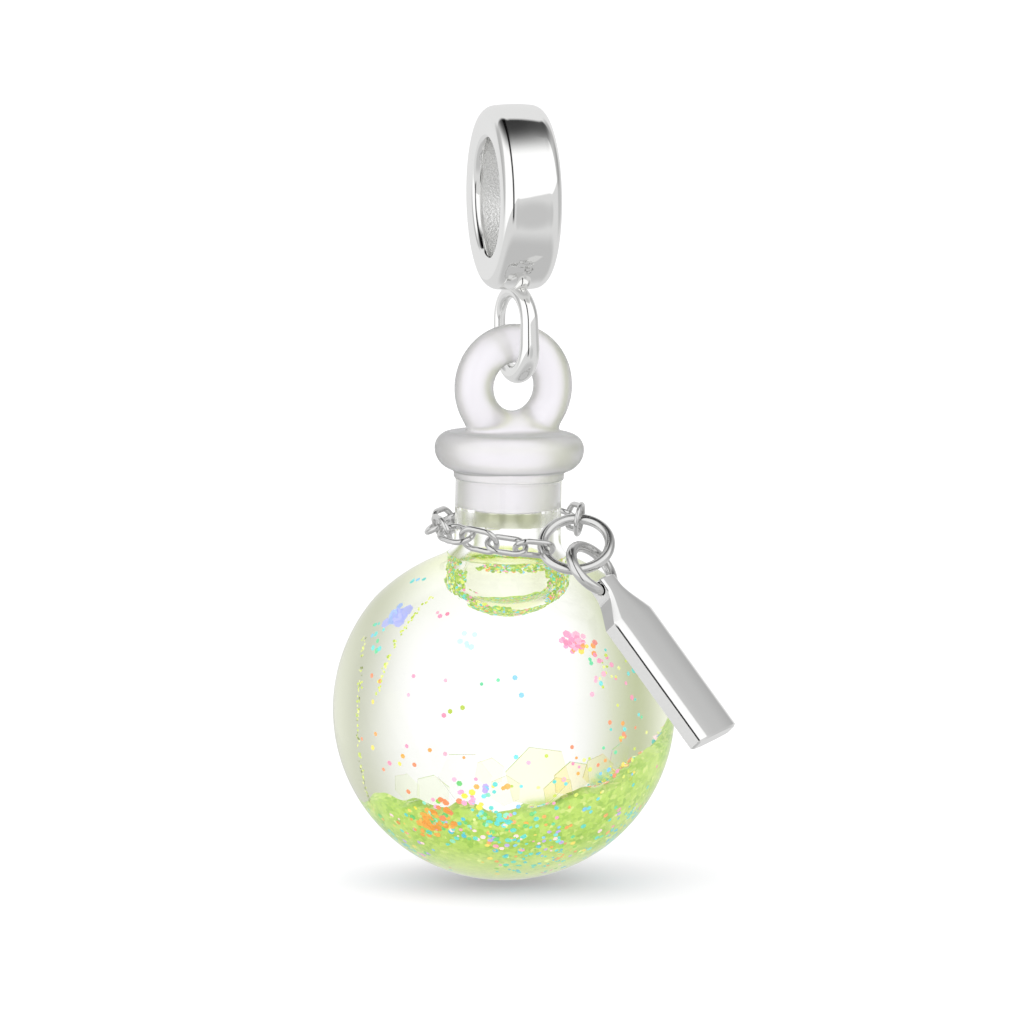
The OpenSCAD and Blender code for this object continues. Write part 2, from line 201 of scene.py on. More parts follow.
def shell(points, faces):
    """One closed shell, with its faces turned round if they point inwards."""
    faces = faces if isinstance(faces, list) else [faces]
    if volume(points, faces) < 0:
        faces = [part[:, ::-1] for part in faces]
    return points, faces


def joined(shells):
    """Several shells as one set of points and faces."""
    offsets = np.cumsum([0] + [len(points) for points, _ in shells[:-1]])
    points = np.concatenate([points for points, _ in shells])
    return points, [part + start for start, (_, faces) in zip(offsets, shells) for part in faces]


def meshed(name, points, faces):
    """An object of one mesh, linked to the scene."""
    mesh = bpy.data.meshes.new(name)
    mesh.from_pydata(points.tolist(), [], [face for part in faces for face in part.tolist()])
    obj = bpy.data.objects.new(name, mesh)
    bpy.context.scene.collection.objects.link(obj)
    return obj


def piece(name, shells, body, nodes, corner=60):
    """An object from closed shells in mm: in metres, smooth except at edges sharper than corner."""
    points, faces = joined(shells)
    obj = meshed(name, points * MM, faces)
    obj.data.shade_smooth()
    obj.data.set_sharp_from_angle(angle=radians(corner))
    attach(obj, body)
    if nodes:
        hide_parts(*nodes)
    print(f"{name}: {len(points)} points, {volume(points, faces):.2f} mm3")
    return obj


# %% Finishes by face, and drafts for modifiers
def face_rows(obj, what):
    """The centre or the normal of each face of a piece, as rows."""
    rows = np.zeros(len(obj.data.polygons) * 3)
    obj.data.polygons.foreach_get(what, rows)
    return rows.reshape(-1, 3)


def dress(obj, materials, marks):
    """Gives a piece its materials. The mark of each face says which one it wears."""
    for mat in materials:
        obj.data.materials.append(mat)
    obj.data.polygons.foreach_set("material_index", marks.astype(np.int32))
    print(f"{obj.name}: faces by material", np.bincount(marks.astype(int)).tolist())


def draft(shells):
    """A throwaway object in mm for a modifier, because a remesh or a cut is too coarse in metres."""
    return meshed("draft", *joined(shells))


def baked(obj):
    """The points and triangles of a draft with its modifiers applied. The draft is removed."""
    mesh = bpy.data.meshes.new_from_object(obj.evaluated_get(bpy.context.evaluated_depsgraph_get()))
    mesh.calc_loop_triangles()
    points = np.zeros(len(mesh.vertices) * 3)
    mesh.vertices.foreach_get("co", points)
    triangles = np.zeros(len(mesh.loop_triangles) * 3, np.int32)
    mesh.loop_triangles.foreach_get("vertices", triangles)
    bpy.data.objects.remove(obj)
    return points.reshape(-1, 3), triangles.reshape(-1, 3)


# %% Sections, wires and plates
def round_turn(count):
    """Equal angles round a full turn, in radians: 2 pi k / count."""
    return 2 * np.pi * np.arange(count) / count


def polar(r, a, z):
    """Points (r cos a, r sin a, z), with a in radians."""
    return np.stack(np.broadcast_arrays(r * np.cos(a), r * np.sin(a), z), -1)


def arc(centre, radius, start, end, count=12):
    """Points centre + radius (cos a, sin a) for a from start to end degrees."""
    a = np.radians(np.linspace(start, end, count))
    return np.stack([centre[0] + radius * np.cos(a), centre[1] + radius * np.sin(a)], 1)


def gone_along(line):
    """The length gone along a line at each of its points."""
    return np.concatenate([[0], np.cumsum(np.linalg.norm(np.diff(line, axis=0), axis=1))])


def eased(line, step, reach):
    """The line at equal steps, each point the mean of those within reach, weighted by a raised cosine.
    Its ends stay."""
    line = np.asarray(line, float)
    gone = gone_along(line)
    s = np.linspace(0, gone[-1], int(round(gone[-1] / step)) + 1)
    even = np.stack([np.interp(s, gone, line[:, k]) for k in range(2)], 1)
    half = max(1, int(round(reach / step)))
    weight = np.hanning(2 * half + 3)[1:-1]
    before, after = 2 * even[:1] - even[half:0:-1], 2 * even[-1:] - even[-2:-half - 2:-1]
    full = np.concatenate([before, even, after])
    return np.stack([np.convolve(full[:, k], weight / weight.sum(), "valid") for k in range(2)], 1)


def spun(section, count):
    """The grid (r cos a, r sin a, z) of a section of (r, z) points turned about Z."""
    return polar(section[:, :1], round_turn(count), section[:, 1:])


def lathed(section, count=192):
    """A section from axis to axis, spun into a closed shell with a point on the axis at each end."""
    points, faces = capped(spun(section[1:-1], count))
    points[-2:] = [[0, 0, section[0, 1]], [0, 0, section[-1, 1]]]
    return shell(points, faces)


def ringed(section, count=192):
    """A closed section that stays off the axis, spun into a ring."""
    return shell(spun(section, count).reshape(-1, 3), grid_faces(len(section), count, True, True))


def wire(line, up, diameter, sides=20):
    """Round wire on a closed line: p + r (cos b (t x up) + sin b up), where t is the line's direction."""
    ahead = unit(np.roll(line, -1, 0) - np.roll(line, 1, 0))
    up = unit(np.broadcast_to(up, line.shape) - (ahead * up).sum(1, keepdims=True) * ahead)
    side = np.cross(ahead, up)
    b = round_turn(sides)
    ring = side[:, None] * np.cos(b)[None, :, None] + up[:, None] * np.sin(b)[None, :, None]
    grid = line[:, None] + diameter / 2 * ring
    return shell(grid.reshape(-1, 3), grid_faces(len(line), sides, True, True))


def oval(length, width, diameter, count=28):
    """Centre line of an oval link along X in the XY plane: two half circles, joined by straight lines."""
    r, h = (width - diameter) / 2, (length - width) / 2
    a = np.radians(np.linspace(-90, 90, count))
    end = polar(r, a, 0 * a) + [h, 0, 0]
    return np.concatenate([end, -end])


def circle(radius, count=96):
    """Points radius (cos a, sin a, 0)."""
    return polar(radius, round_turn(count), 0)


# %% [markdown]
# ## Camera and studio
# The photograph looks at the pendant from a little to its left and above, through a long lens. The
# camera stands 300 mm off, and the lens makes 26.3 pixels of the 1024-pixel frame one millimetre.

# %% Camera
CAM_TURN, CAM_LIFT, CAM_FAR, PX_PER_MM, SENSOR = -13.3, 6.5, 300, 26.3, 36


def view_axes(turn, lift):
    """Right, up and back of a view from turn and lift degrees; back points from the object to the eye."""
    a, e = radians(turn), radians(lift)
    right = np.array([cos(a), sin(a), 0])
    back = np.array([sin(a) * cos(e), -cos(a) * cos(e), sin(e)])
    return right, np.cross(back, right), back


def aimed(right, up, back, place):
    """The matrix whose columns are right, up, back and the place in mm, for a camera or a lamp."""
    columns = np.eye(4)
    columns[:3] = np.stack([right, up, back, place * MM], 1)
    return Matrix(columns.tolist())


RIGHT, UP, BACK = view_axes(CAM_TURN, CAM_LIFT)
# The middle of the frame, from the middle of the bead
AIM = -0.065 * RIGHT - 11.977 * UP
camera_data = bpy.data.cameras.new("camera")
camera_data.sensor_width = SENSOR
camera_data.lens = SENSOR * CAM_FAR / (1024 / PX_PER_MM)
camera_data.clip_start, camera_data.clip_end = 0.01, 10
camera = bpy.data.objects.new("camera", camera_data)
camera.matrix_world = aimed(RIGHT, UP, BACK, AIM + CAM_FAR * BACK)
bpy.context.scene.collection.objects.link(camera)
bpy.context.scene.camera = camera
bpy.context.scene.view_settings.view_transform = "Standard"
print("lens, mm:", round(camera_data.lens, 1))

# %% [markdown]
# A material, and the world too, is a small network of nodes. They could be placed in the editor by
# hand. Two helpers write them down instead, so that every number of a finish can be read in one place.


# %% Colours and nodes
def colour(code):
    """sRGB hex to linear: v / 12.92 under 0.04045, else ((v + 0.055) / 1.055) ** 2.4."""
    v = np.array([int(code[k:k + 2], 16) for k in (1, 3, 5)]) / 255
    linear = np.where(v <= 0.04045, v / 12.92, ((v + 0.055) / 1.055) ** 2.4)
    return (*linear.tolist(), 1.0)


def add(tree, kind, settings=(), **links):
    """Adds a node. Settings are properties, or socket values by name or number. A link names its socket,
    or numbers it as i0, and is fed by an output, or by a node, which stands for its first output."""
    node = tree.nodes.new("ShaderNode" + kind)
    for key, value in dict(settings).items():
        if isinstance(key, str) and hasattr(node, key) and key not in node.inputs:
            setattr(node, key, value)
        else:
            node.inputs[key].default_value = value
    for key, source in links.items():
        socket = node.inputs[int(key[1:]) if key[1:].isdigit() else key.replace("_", " ")]
        tree.links.new(getattr(source, "outputs", [source])[0], socket)
    return node


def material(name, surface):
    """A material whose node tree is filled by surface(tree), which returns the shader."""
    mat = bpy.data.materials.new(name)
    mat.use_nodes = True
    mat.node_tree.nodes.clear()
    add(mat.node_tree, "OutputMaterial", Surface=surface(mat.node_tree))
    return mat


# %% [markdown]
# Jewellery is shot in a white tent with dark cards at its sides, because silver and glass only show
# their shape where something dark is reflected or bent into view. Cards could be flat objects. Here
# the tent is the world itself, and a card is a soft patch of it round one direction, so no edge of a
# card and no shadow of one gets into the picture. Silver, glass and camera each see their own tent, as
# when a photographer joins several exposures. What glass reflects inside itself counts as bent light.

# %% The white tent and its cards
AWAY, ZENITH = -BACK, np.array([0, 0, 1])
world = bpy.data.worlds.new("white tent")
bpy.context.scene.world = world
world.use_nodes = True
tree = world.node_tree
tree.nodes.clear()
look = add(tree, "TexCoord").outputs["Generated"]


def cosine_to(right, up, away):
    """Cosine of the look to a direction given by its shares to the camera's right, up and away from it."""
    way = unit(right * RIGHT + up * ZENITH + away * AWAY).tolist()
    return add(tree, "VectorMath", {"operation": "DOT_PRODUCT", 1: tuple(way)}, i0=look).outputs["Value"]


def card(right, up, away, start, full, edge, middle):
    """The light level round a direction: edge where the cosine is below start, middle where above full."""
    return add(
        tree, "MapRange",
        {"interpolation_type": "SMOOTHSTEP", "From Min": start, "From Max": full, "To Min": edge,
         "To Max": middle},
        Value=cosine_to(right, up, away))


def cards(rows):
    """One card for each row of numbers."""
    return [card(*row) for row in rows]


def combined(operation, levels):
    """Levels joined two by two with one operation."""
    total = levels[0]
    for level in levels[1:]:
        total = add(tree, "Math", {"operation": operation}, i0=total, i1=level)
    return total


def strip(right, up, away, centre, half):
    """How much a soft strip covers: 1 where the cosine to a direction is centre, 0 from half away."""
    off = add(tree, "Math", {"operation": "SUBTRACT", 1: centre}, i0=cosine_to(right, up, away))
    size = add(tree, "Math", {"operation": "ABSOLUTE"}, i0=off)
    return add(
        tree, "MapRange",
        {"interpolation_type": "SMOOTHSTEP", "From Min": 0.0, "From Max": half, "To Min": 1.0, "To Max": 0.0},
        Value=size)


# %% What the silver reflects
# Each row of numbers is one card. The walls are white on the camera's side, pale grey behind and
# greyer below. A dark card hangs overhead and is cut off behind. A narrow dark strip stands in front on
# the left, and a grey card leans in from the right. Small cards shade the front, the floor and the sides.
walls = combined("MINIMUM", cards([
    (0, 0, 1, -0.2, 0.5, 1.1, 0.8), (-0.3, 1, 0, -0.07, 0.01, 0.72, 2.0)]))
top_card = combined("MAXIMUM", cards([
    (-0.1, 0.93, 0.3, 0.58, 0.99, 1.0, 0.05), (0, 0, 1, 0.3, 0.42, 0.0, 1.0)]))
front_strip = combined("MAXIMUM", cards([
    (1, 0, 0, -0.36, -0.28, 1.0, 0.04), (1, 0, 0, -0.14, -0.05, 0.04, 1.0),
    (0, 0, 1, 0.25, 0.4, 0.0, 1.0), (0, 1, 0, -0.5, -0.3, 1.0, 0.0)]))
side_card = combined("MAXIMUM", cards([
    (0.72, 0.64, 0.25, 0.8, 0.92, 1.0, 0.58), (0, 0, 1, -0.12, -0.03, 1.0, 0.0)]))
small_cards = cards([
    (0.4, -0.4, -0.82, 0.93, 0.99, 1.0, 0.8), (0, -1, 0, 0.6, 0.85, 1.0, 0.75),
    (0.9, 0.1, 0.35, 0.86, 0.97, 1.0, 0.75), (-0.9, 0.25, 0.3, 0.9, 0.975, 1.0, 0.6)])
mirrored = combined("MULTIPLY", [walls, top_card, front_strip, side_card, *small_cards])

# %% What the glass bends into view, and who sees what
# White, with a soft tint from below and above, and a grey-green strip down each side
white, bent = colour("#ffffff"), None
for row, code in [
    ((0, -1, 0, 1.0, 0.35), "#f2f6c8"), ((0, 1, 0, 1.0, 0.2), "#f8fae0"),
    ((1, 0, 0, 0.69, 0.41), "#c6c8bc"), ((-1, 0, 0, 0.58, 0.36), "#b4bc92"),
]:
    settings = {"data_type": "RGBA", "blend_type": "MULTIPLY", 6: white, 7: colour(code)}
    mix = add(tree, "Mix", settings, i0=strip(*row))
    if bent is not None:
        tree.links.new(bent, mix.inputs[6])
    bent = mix.outputs[2]
path = add(tree, "LightPath").outputs
seen = add(tree, "Background", {"Color": white, "Strength": 1.0})
behind = add(tree, "Background", {"Color": white, "Strength": 1.05})
tent = add(tree, "Background", {"Color": white}, Strength=mirrored)
glow = add(tree, "Background", {"Strength": 1.1}, Color=bent)
deep = add(tree, "Math", {"operation": "GREATER_THAN", 1: 0.5}, i0=path["Transmission Depth"])
inner = combined("MULTIPLY", [path["Is Glossy Ray"], deep])
through = combined("MAXIMUM", [path["Is Transmission Ray"], inner])
for ray, shader in [(path["Is Glossy Ray"], tent), (through, glow), (path["Is Camera Ray"], behind)]:
    seen = add(tree, "MixShader", {}, i0=ray, i1=seen, i2=shader)
add(tree, "OutputWorld", Surface=seen)
print("nodes of the tent:", len(tree.nodes))


# %% [markdown]
# The pendant is shown just above a white sweep of paper. The sheet is large enough that its edge never
# shows, and it lies a hair below the bottle, so the bottle keeps the soft shadow that ties it down. A
# faint glow keeps it as white as the tent. Glass and silver don't see it, because the tent goes on
# below them, and the two softboxes don't show in the silver, where they would hide the cards.

# %% Paper sweep and softboxes
FLOOR_GAP, FLOOR_HALF, PAPER_GLOW = 0.12, 1500, 0.16
floor_z = cad_box[0][2] / MM - FLOOR_GAP
corners = np.array([[-1, -1, 0], [1, -1, 0], [1, 1, 0], [-1, 1, 0]]) * FLOOR_HALF + [0, 0, floor_z]
floor = meshed("paper_sweep", corners * MM, [np.array([[0, 1, 2, 3]])])
floor.visible_glossy = False
floor.visible_transmission = False


def paper(tree):
    """Matt white card: a plain diffuse base, with a faint mottle of 2.5 mm from its fibres."""
    place = add(tree, "TexCoord").outputs["Object"]
    fibre = add(tree, "TexNoise", {"Scale": 1 / (2.5 * MM), "Detail": 4.0}, Vector=place)
    tone = add(tree, "MapRange", {"To Min": 0.955, "To Max": 0.975}, Value=fibre)
    return add(
        tree, "BsdfPrincipled",
        {"Roughness": 1.0, "Specular IOR Level": 0.0, "Emission Color": white,
         "Emission Strength": PAPER_GLOW},
        Base_Color=tone)


floor.data.materials.append(material("white sweep paper, matt", paper))


def softbox(name, turn, lift, far, size, power):
    """A square area light that faces the globe from turn and lift degrees, far and size in mm."""
    light = bpy.data.lights.new(name, "AREA")
    light.size, light.energy = size * MM, power
    right, up, back = view_axes(turn, lift)
    obj = bpy.data.objects.new(name, light)
    obj.matrix_world = aimed(right, up, back, from_globe([0, 0, 0]) + far * back)
    obj.visible_glossy = False
    bpy.context.scene.collection.objects.link(obj)


softbox("key softbox", -50, 50, 260, 120, 0.03)
softbox("fill softbox", 40, 60, 300, 150, 0.03)
print("height of the paper, mm:", round(floor_z, 3))

# %% [markdown]
# ## Silver
# Sterling silver with a thin rhodium plating polishes to a bright and nearly neutral white. It is cast,
# then tumbled and buffed, which leaves marks that soften a reflection without hiding it. The real marks
# are too fine to show, so they are drawn as coarse as they need to be. The bead's bore is left as it
# came from the mould, with a grain. The chain's wire is drawn and only tumbled, which leaves it softer,
# and its silver is painted greyer as shade. The tag's sides are brushed to a satin that hardly mirrors.


# %% Silver finishes
def buffed(mark, rough, bump, code, depth=0.01):
    """Buffed metal: roughness rises and falls with the noise of marks, mark mm apart and depth mm deep."""
    def surface(tree):
        place = add(tree, "TexCoord").outputs["Object"]
        marks = add(tree, "TexNoise", {"Scale": 1 / (mark * MM), "Detail": 3.0}, Vector=place)
        rub = add(tree, "MapRange", {"To Min": rough * 0.7, "To Max": rough * 1.4}, Value=marks)
        dent = add(tree, "Bump", {"Strength": bump, "Distance": depth * MM}, Height=marks)
        finish = {"Base Color": colour(code), "Metallic": 1.0}
        return add(tree, "BsdfPrincipled", finish, Roughness=rub, Normal=dent)
    return surface


silver = material("sterling silver, buffed and rhodium plated", buffed(0.25, 0.05, 0.04, "#f8f8f7"))
# The chain's silver is painted darker than the rest, as shade on its fine wires
chain_silver_painted_grey = material("silver wire, drawn and tumbled", buffed(0.12, 0.13, 0.03, "#dededd"))
bore_silver = material("sterling silver, as cast", buffed(0.09, 0.3, 0.9, "#f8f8f7", 0.035))
satin_silver = material("sterling silver, sawn and satin brushed", buffed(0.1, 0.55, 0.1, "#fafaf9"))
print("silver finishes:", len(bpy.data.materials) - 1)

# %% [markdown]
# ## Bead and link
# The bead is a short thick tube with hollowed faces and a slightly crowned band. It could be a lathe
# profile with a bevel; here the section is drawn with its own arcs, so the band's crown and the lips
# of the bore are part of it. The link below it is one closed oval of wire, soldered into the band. Its
# wire is worn thinner behind and left fuller in front and in the bend where the glass ring hangs.

# %% Bead and its link
BAND_CROWN, LIP_ROUND, LIP_SUNK = 6.0, 0.2, 0.14
band_half = BEAD_HALF - BEAD_CORNER
across = np.linspace(-band_half, band_half, 15)
crown = np.stack([BEAD_R - (across ** 2) / (2 * BAND_CROWN), across], 1)
corner_r = BEAD_R - BEAD_CORNER - band_half ** 2 / (2 * BAND_CROWN)
bead_section = np.concatenate([
    np.stack([np.full(8, BORE_R), np.linspace(BORE_HALF, -BORE_HALF, 8)], 1),
    arc((BORE_R + LIP_ROUND, -LIP_HALF + LIP_SUNK), LIP_ROUND, 205, 268, 6),
    arc((corner_r, -band_half), BEAD_CORNER, -90, -4, 12),
    crown,
    arc((corner_r, band_half), BEAD_CORNER, 4, 90, 12),
    arc((BORE_R + LIP_ROUND, LIP_HALF - LIP_SUNK), LIP_ROUND, 92, 155, 6),
])


def along_bore(shell_points):
    """From a section turned about Z to the bead, whose bore runs along X: (z, y, -x)."""
    points, faces = shell_points
    return shell(np.stack([points[:, 2], points[:, 1], -points[:, 0]], 1), faces)


bead = along_bore(ringed(bead_section, 256))
SWELL_FRONT, SWELL_BELOW = 0.12, 0.13
link_line = oval(LINK_H, LINK_W, LINK_WIRE, 48)
link_line = np.stack([0 * link_line[:, 0], link_line[:, 1], link_line[:, 0]], 1)
link_middle = [0, 0, pivot_z + (LINK_H - LINK_WIRE) / 2]
outward = unit(link_line * [0, 1, 1])
front = np.clip(-link_line[:, 1] / link_end_r, -1, 1)
below = np.clip(-link_line[:, 2] / (LINK_H / 2), 0, 1)
swell = SWELL_FRONT * front + SWELL_BELOW * below * (1 + front)
link_line = link_line + outward * swell[:, None] / 2
thick = (LINK_WIRE + swell)[:, None, None]
link = wire(turned(link_line, LINK_TURN) + link_middle, turned([1, 0, 0], LINK_TURN), thick, 28)
bail = piece("silver_bead_and_link", [bead, link], "bead", ["bail"], corner=35)
centres = face_rows(bail, "center") / MM
in_bore = (np.hypot(centres[:, 1], centres[:, 2]) < BORE_R + 0.01) & (np.abs(centres[:, 0]) < BORE_HALF)
dress(bail, [silver, bore_silver], in_bore)

# %% [markdown]
# ## Glass stopper
# The stopper is pressed glass, tumbled until its skin is softly milky: a ring, a round-edged flange, a
# collar and a plug in one piece. Two shells that cut through each other would show a seam inside the
# glass. So the ring and the turned body are remeshed into one skin, and each point of that skin is then
# moved onto the smooth union of the two shapes, which rounds the inner corner as melted glass does.

# %% Section of the stopper and its distance field
GLUE, PLUG_EDGE, COLLAR_EDGE, MELT = 0.03, 0.15, 0.08, 0.16
edge_z = FLANGE_H - FLANGE_EDGE
stopper_outline = np.concatenate([
    [[0, -PLUG_LEN]],
    arc((NECK_BORE_R + GLUE - PLUG_EDGE, -PLUG_LEN + PLUG_EDGE), PLUG_EDGE, -90, 0, 6),
    [[NECK_BORE_R + GLUE, -MOUTH_GAP]],
    [[COLLAR_R - 1.5 * COLLAR_EDGE, -MOUTH_GAP]],
    arc((COLLAR_R - COLLAR_EDGE, COLLAR_EDGE), COLLAR_EDGE, -90, 0, 5),
    arc((FLANGE_R - FLANGE_UNDER, edge_z), FLANGE_UNDER, -82, 0, 16),
    arc((FLANGE_R - FLANGE_EDGE, edge_z), FLANGE_EDGE, 4, 90, 14),
    [[0, FLANGE_H]],
])
EYE_MIDDLE = np.array([0, 0, eye_z])


def to_eye(points):
    """From the part's frame to the glass ring's own: its middle at 0 and its axis along Z."""
    return leant(turned(unhung(points) - EYE_MIDDLE, -EYE_TURN), -90)


def outline_distance(points, outline):
    """Distance of (r, z) points to the outline's nearest stretch, below 0 inside it."""
    a, b = outline[:-1], outline[1:]
    d = b - a
    best = np.full(len(points), 1e9)
    inside = np.zeros(len(points), bool)
    for k in range(len(a)):
        w = points - a[k]
        t = np.clip((w @ d[k]) / max(d[k] @ d[k], 1e-12), 0, 1)
        best = np.minimum(best, np.linalg.norm(w - t[:, None] * d[k], axis=1))
        spans = (a[k, 1] > points[:, 1]) != (b[k, 1] > points[:, 1])
        if spans.any():
            reach = a[k, 0] + (points[spans, 1] - a[k, 1]) * d[k, 0] / d[k, 1]
            inside[spans] ^= points[spans, 0] < reach
    return np.where(inside, -best, best)


def stopper_field(points):
    """Smooth union of ring and body: min(d1, d2) - m h^3 / 6 with h = max(m - |d1 - d2|, 0) / m."""
    p = to_eye(points)
    ring = np.hypot(np.hypot(p[:, 0], p[:, 1]) - eye_r, p[:, 2]) - EYE_ROD / 2
    q = to_mouth(points)
    body = outline_distance(np.stack([np.hypot(q[:, 0], q[:, 1]), q[:, 2]], 1), stopper_outline)
    reach = 4 * MELT
    near = np.maximum(reach - np.abs(ring - body), 0) / reach
    return np.minimum(ring, body) - reach * near ** 3 / 6


def slope(field, points, h=0.004):
    """Gradient of a field by central differences, (f(p + h) - f(p - h)) / 2h along each axis."""
    steps = np.eye(3) * h
    return np.stack([(field(points + s) - field(points - s)) / (2 * h) for s in steps], 1)


# %% Stopper as one skin
VOXEL, PASSES, RELAX, LEAST_SLOPE = 0.1, 6, 0.6, 0.2
turned_body = lathed(eased(stopper_outline, 0.05, 0.03), 128)
body_points = hung(turned_body[0] + [0, 0, mouth_z] + AXIS_SHIFT)
eye_line = turned(leant(circle(eye_r, 128), 90), EYE_TURN) + EYE_MIDDLE
eye_shell = wire(hung(eye_line), SWING_AXIS, EYE_ROD, 48)
remeshed = draft([shell(body_points, turned_body[1]), eye_shell])
remesh = remeshed.modifiers.new("one skin", "REMESH")
remesh.mode, remesh.voxel_size = "VOXEL", VOXEL
co, faces = baked(remeshed)
ways = np.concatenate([faces[:, [0, 1]], faces[:, [1, 2]], faces[:, [2, 0]]])
neighbours = np.bincount(ways[:, 0], minlength=len(co))[:, None]
for _ in range(PASSES):
    mean = np.stack([np.bincount(ways[:, 0], co[ways[:, 1], k], len(co)) for k in range(3)], 1) / neighbours
    co = (1 - RELAX) * co + RELAX * mean
    g = slope(stopper_field, co)
    steep = np.maximum((g * g).sum(1), LEAST_SLOPE)[:, None]
    co = co - np.clip(stopper_field(co), -VOXEL, VOXEL)[:, None] * g / steep
print("stopper's skin is off its form by at most, mm:", round(float(np.abs(stopper_field(co)).max()), 4))
stopper = piece("glass_stopper", [shell(co, faces)], "bottle", ["stopper"])


# %% [markdown]
# Milky glass lets light through but blurs it. A little clouding under the skin, some roughness and slow
# flow marks give the soft white of the ring and flange. The thin grey edges where it turns away are
# painted shade in the glass's colour. A coat gives back the wet gloss that the roughness takes. A fine
# dark line marks where the collar was melted on.

# %% Milky glass
# Flow marks to the millimetre, and the dark line's height over the mouth and how far it wanders
FLOW_MARKS, CRACK_UP, CRACK_WANDER = 0.26, 0.5, 0.3


def milky(tree):
    """Pressed glass with a satin skin, with painted shade that greys it where the look grazes it, and a
    slowly wandering dark line where |z - z0 + wander * noise| is small."""
    place = add(tree, "TexCoord").outputs["Object"]
    wave = add(tree, "TexNoise", {"Scale": FLOW_MARKS / MM, "Detail": 1.0}, Vector=place)
    rub = add(tree, "MapRange", {"To Min": 0.26, "To Max": 0.4}, Value=wave)
    dent = add(tree, "Bump", {"Strength": 0.2, "Distance": 0.03 * MM}, Height=wave)
    graze = add(tree, "LayerWeight", {"Blend": 0.5}).outputs["Facing"]
    edge = add(tree, "MapRange", {"From Min": 0.25, "From Max": 0.95}, Value=graze)
    # Painted shade: the glass's colour greys towards #707078 where the look grazes it
    painted_edge_shade = add(tree, "Mix", {"data_type": "RGBA", 6: colour("#fcf9ff"), 7: colour("#707078")}, i0=edge)
    height = add(tree, "SeparateXYZ", Vector=place).outputs["Z"]
    crack_at = {"operation": "MULTIPLY_ADD", 1: CRACK_WANDER * MM, 2: -(mouth_z + CRACK_UP) * MM}
    crack = add(tree, "Math", crack_at, i0=wave)
    off = add(tree, "Math", {"operation": "ADD"}, i0=height, i1=crack)
    size = add(tree, "Math", {"operation": "ABSOLUTE"}, i0=off)
    fade = {"From Min": 0.015 * MM, "From Max": 0.06 * MM, "To Min": 0.8, "To Max": 0.0}
    line = add(tree, "MapRange", fade, Value=size)
    marked = add(tree, "Mix", {"data_type": "RGBA", 7: colour("#606162")}, i0=line, i6=painted_edge_shade.outputs[2])
    glass = {"IOR": 1.5, "Transmission Weight": 0.82, "Coat Weight": 0.5, "Coat Roughness": 0.12}
    return add(tree, "BsdfPrincipled", glass, Base_Color=marked.outputs[2], Roughness=rub, Normal=dent)


stopper.data.materials.append(material("clear glass, pressed and satin tumbled", milky))

# %% [markdown]
# ## Glass bottle
# The bottle is lamp-blown: a thick, nearly round globe that flows into a short neck with a melted lip.
# One section runs from the foot up the outside, over the lip, down the bore and along the inner wall
# back to the axis. It is drawn from the same arcs as the solids and then eased, so that the outline has
# no kink where two arcs meet.


# %% Section of the flask
def flask(inset, tube_r, top, count=160):
    """Outline (r, z) from the foot to height top: globe, flatter shoulder, fillet and neck."""
    globe, big, fillet = GLOBE_R - inset, SHOULDER_R - inset, NECK_FILLET + inset
    fillet_z = -SHOULDER_DROP + sqrt((big + fillet) ** 2 - (tube_r + fillet) ** 2)
    foot = -GLOBE_R + FOOT_FLAT + inset
    low = np.degrees(np.arcsin(foot / globe))
    meet_z = (big ** 2 - globe ** 2 - SHOULDER_DROP ** 2) / (2 * SHOULDER_DROP)
    up_globe = degrees(np.arcsin(meet_z / globe))
    up_low = degrees(np.arcsin((meet_z + SHOULDER_DROP) / big))
    up_high = degrees(np.arctan2(fillet_z + SHOULDER_DROP, tube_r + fillet))
    return np.concatenate([
        [[0, foot]],
        arc((0, 0), globe, low, up_globe, count),
        arc((0, -SHOULDER_DROP), big, up_low, up_high, count // 2),
        arc((tube_r + fillet, fillet_z), fillet, up_high + 180, 180, 24),
        [[tube_r, top]],
    ])


MOUTH_ROUND, STEP, EASE = 0.05, 0.13, 0.22
lip_top = MOUTH_H - MOUTH_ROUND
lip = np.concatenate([
    arc((NECK_R - MOUTH_ROUND, lip_top), MOUTH_ROUND, 0, 90, 7),
    arc((NECK_BORE_R + MOUTH_ROUND, lip_top), MOUTH_ROUND, 90, 180, 7),
])
outside, inside = flask(0, NECK_R, lip_top), flask(WALL, NECK_BORE_R, lip_top)
bottle_section = np.concatenate([eased(outside, STEP, EASE), lip, eased(inside, STEP, EASE)[::-1]])


def on_bottle(shell_points):
    """A shell from the globe's own frame to the part's."""
    points, faces = shell_points
    return from_globe(points), faces


bottle = piece("glass_bottle", [on_bottle(lathed(bottle_section, 200))], "bottle", ["bottle"])

# %% [markdown]
# One bottle wears three finishes of the same glass. Most of it is fire polished. A band of the bore
# under the plug was ground to fit and is left rough, and its grey-olive tint is a painted reflection of
# the green below. Where the neck opens into the globe the inner wall is wet with a film of syrup and
# fine glitter. A film could be a shell of its own, but it is thinner than any shell that renders well,
# so it is a tint of the wall's own faces.


# %% Finishes of the bottle
# Waves to the millimetre in blown glass
WAVES = 0.22


def blown(tree):
    """Blown soda glass: clear, with a very slow waviness from the breath and the turning."""
    place = add(tree, "TexCoord").outputs["Object"]
    wave = add(tree, "TexNoise", {"Scale": WAVES / MM, "Detail": 1.0}, Vector=place)
    dent = add(tree, "Bump", {"Strength": 0.1, "Distance": 0.08 * MM}, Height=wave)
    glass = {"Base Color": white, "IOR": 1.5, "Transmission Weight": 1.0, "Roughness": 0.0}
    return add(tree, "BsdfPrincipled", glass, Normal=dent)


def ground_with_painted_reflection(tree):
    """The neck's bore below the plug, left rough from grinding: clear glass with an even, rather rough skin,
    tinted grey-olive as a painted reflection of the green below.
    """
    # Painted reflection: the grey-olive colour stands for the green below, seen in the bore
    glass = {"Base Color": colour("#c8ccac"), "IOR": 1.5, "Transmission Weight": 1.0, "Roughness": 0.3}
    return add(tree, "BsdfPrincipled", glass)


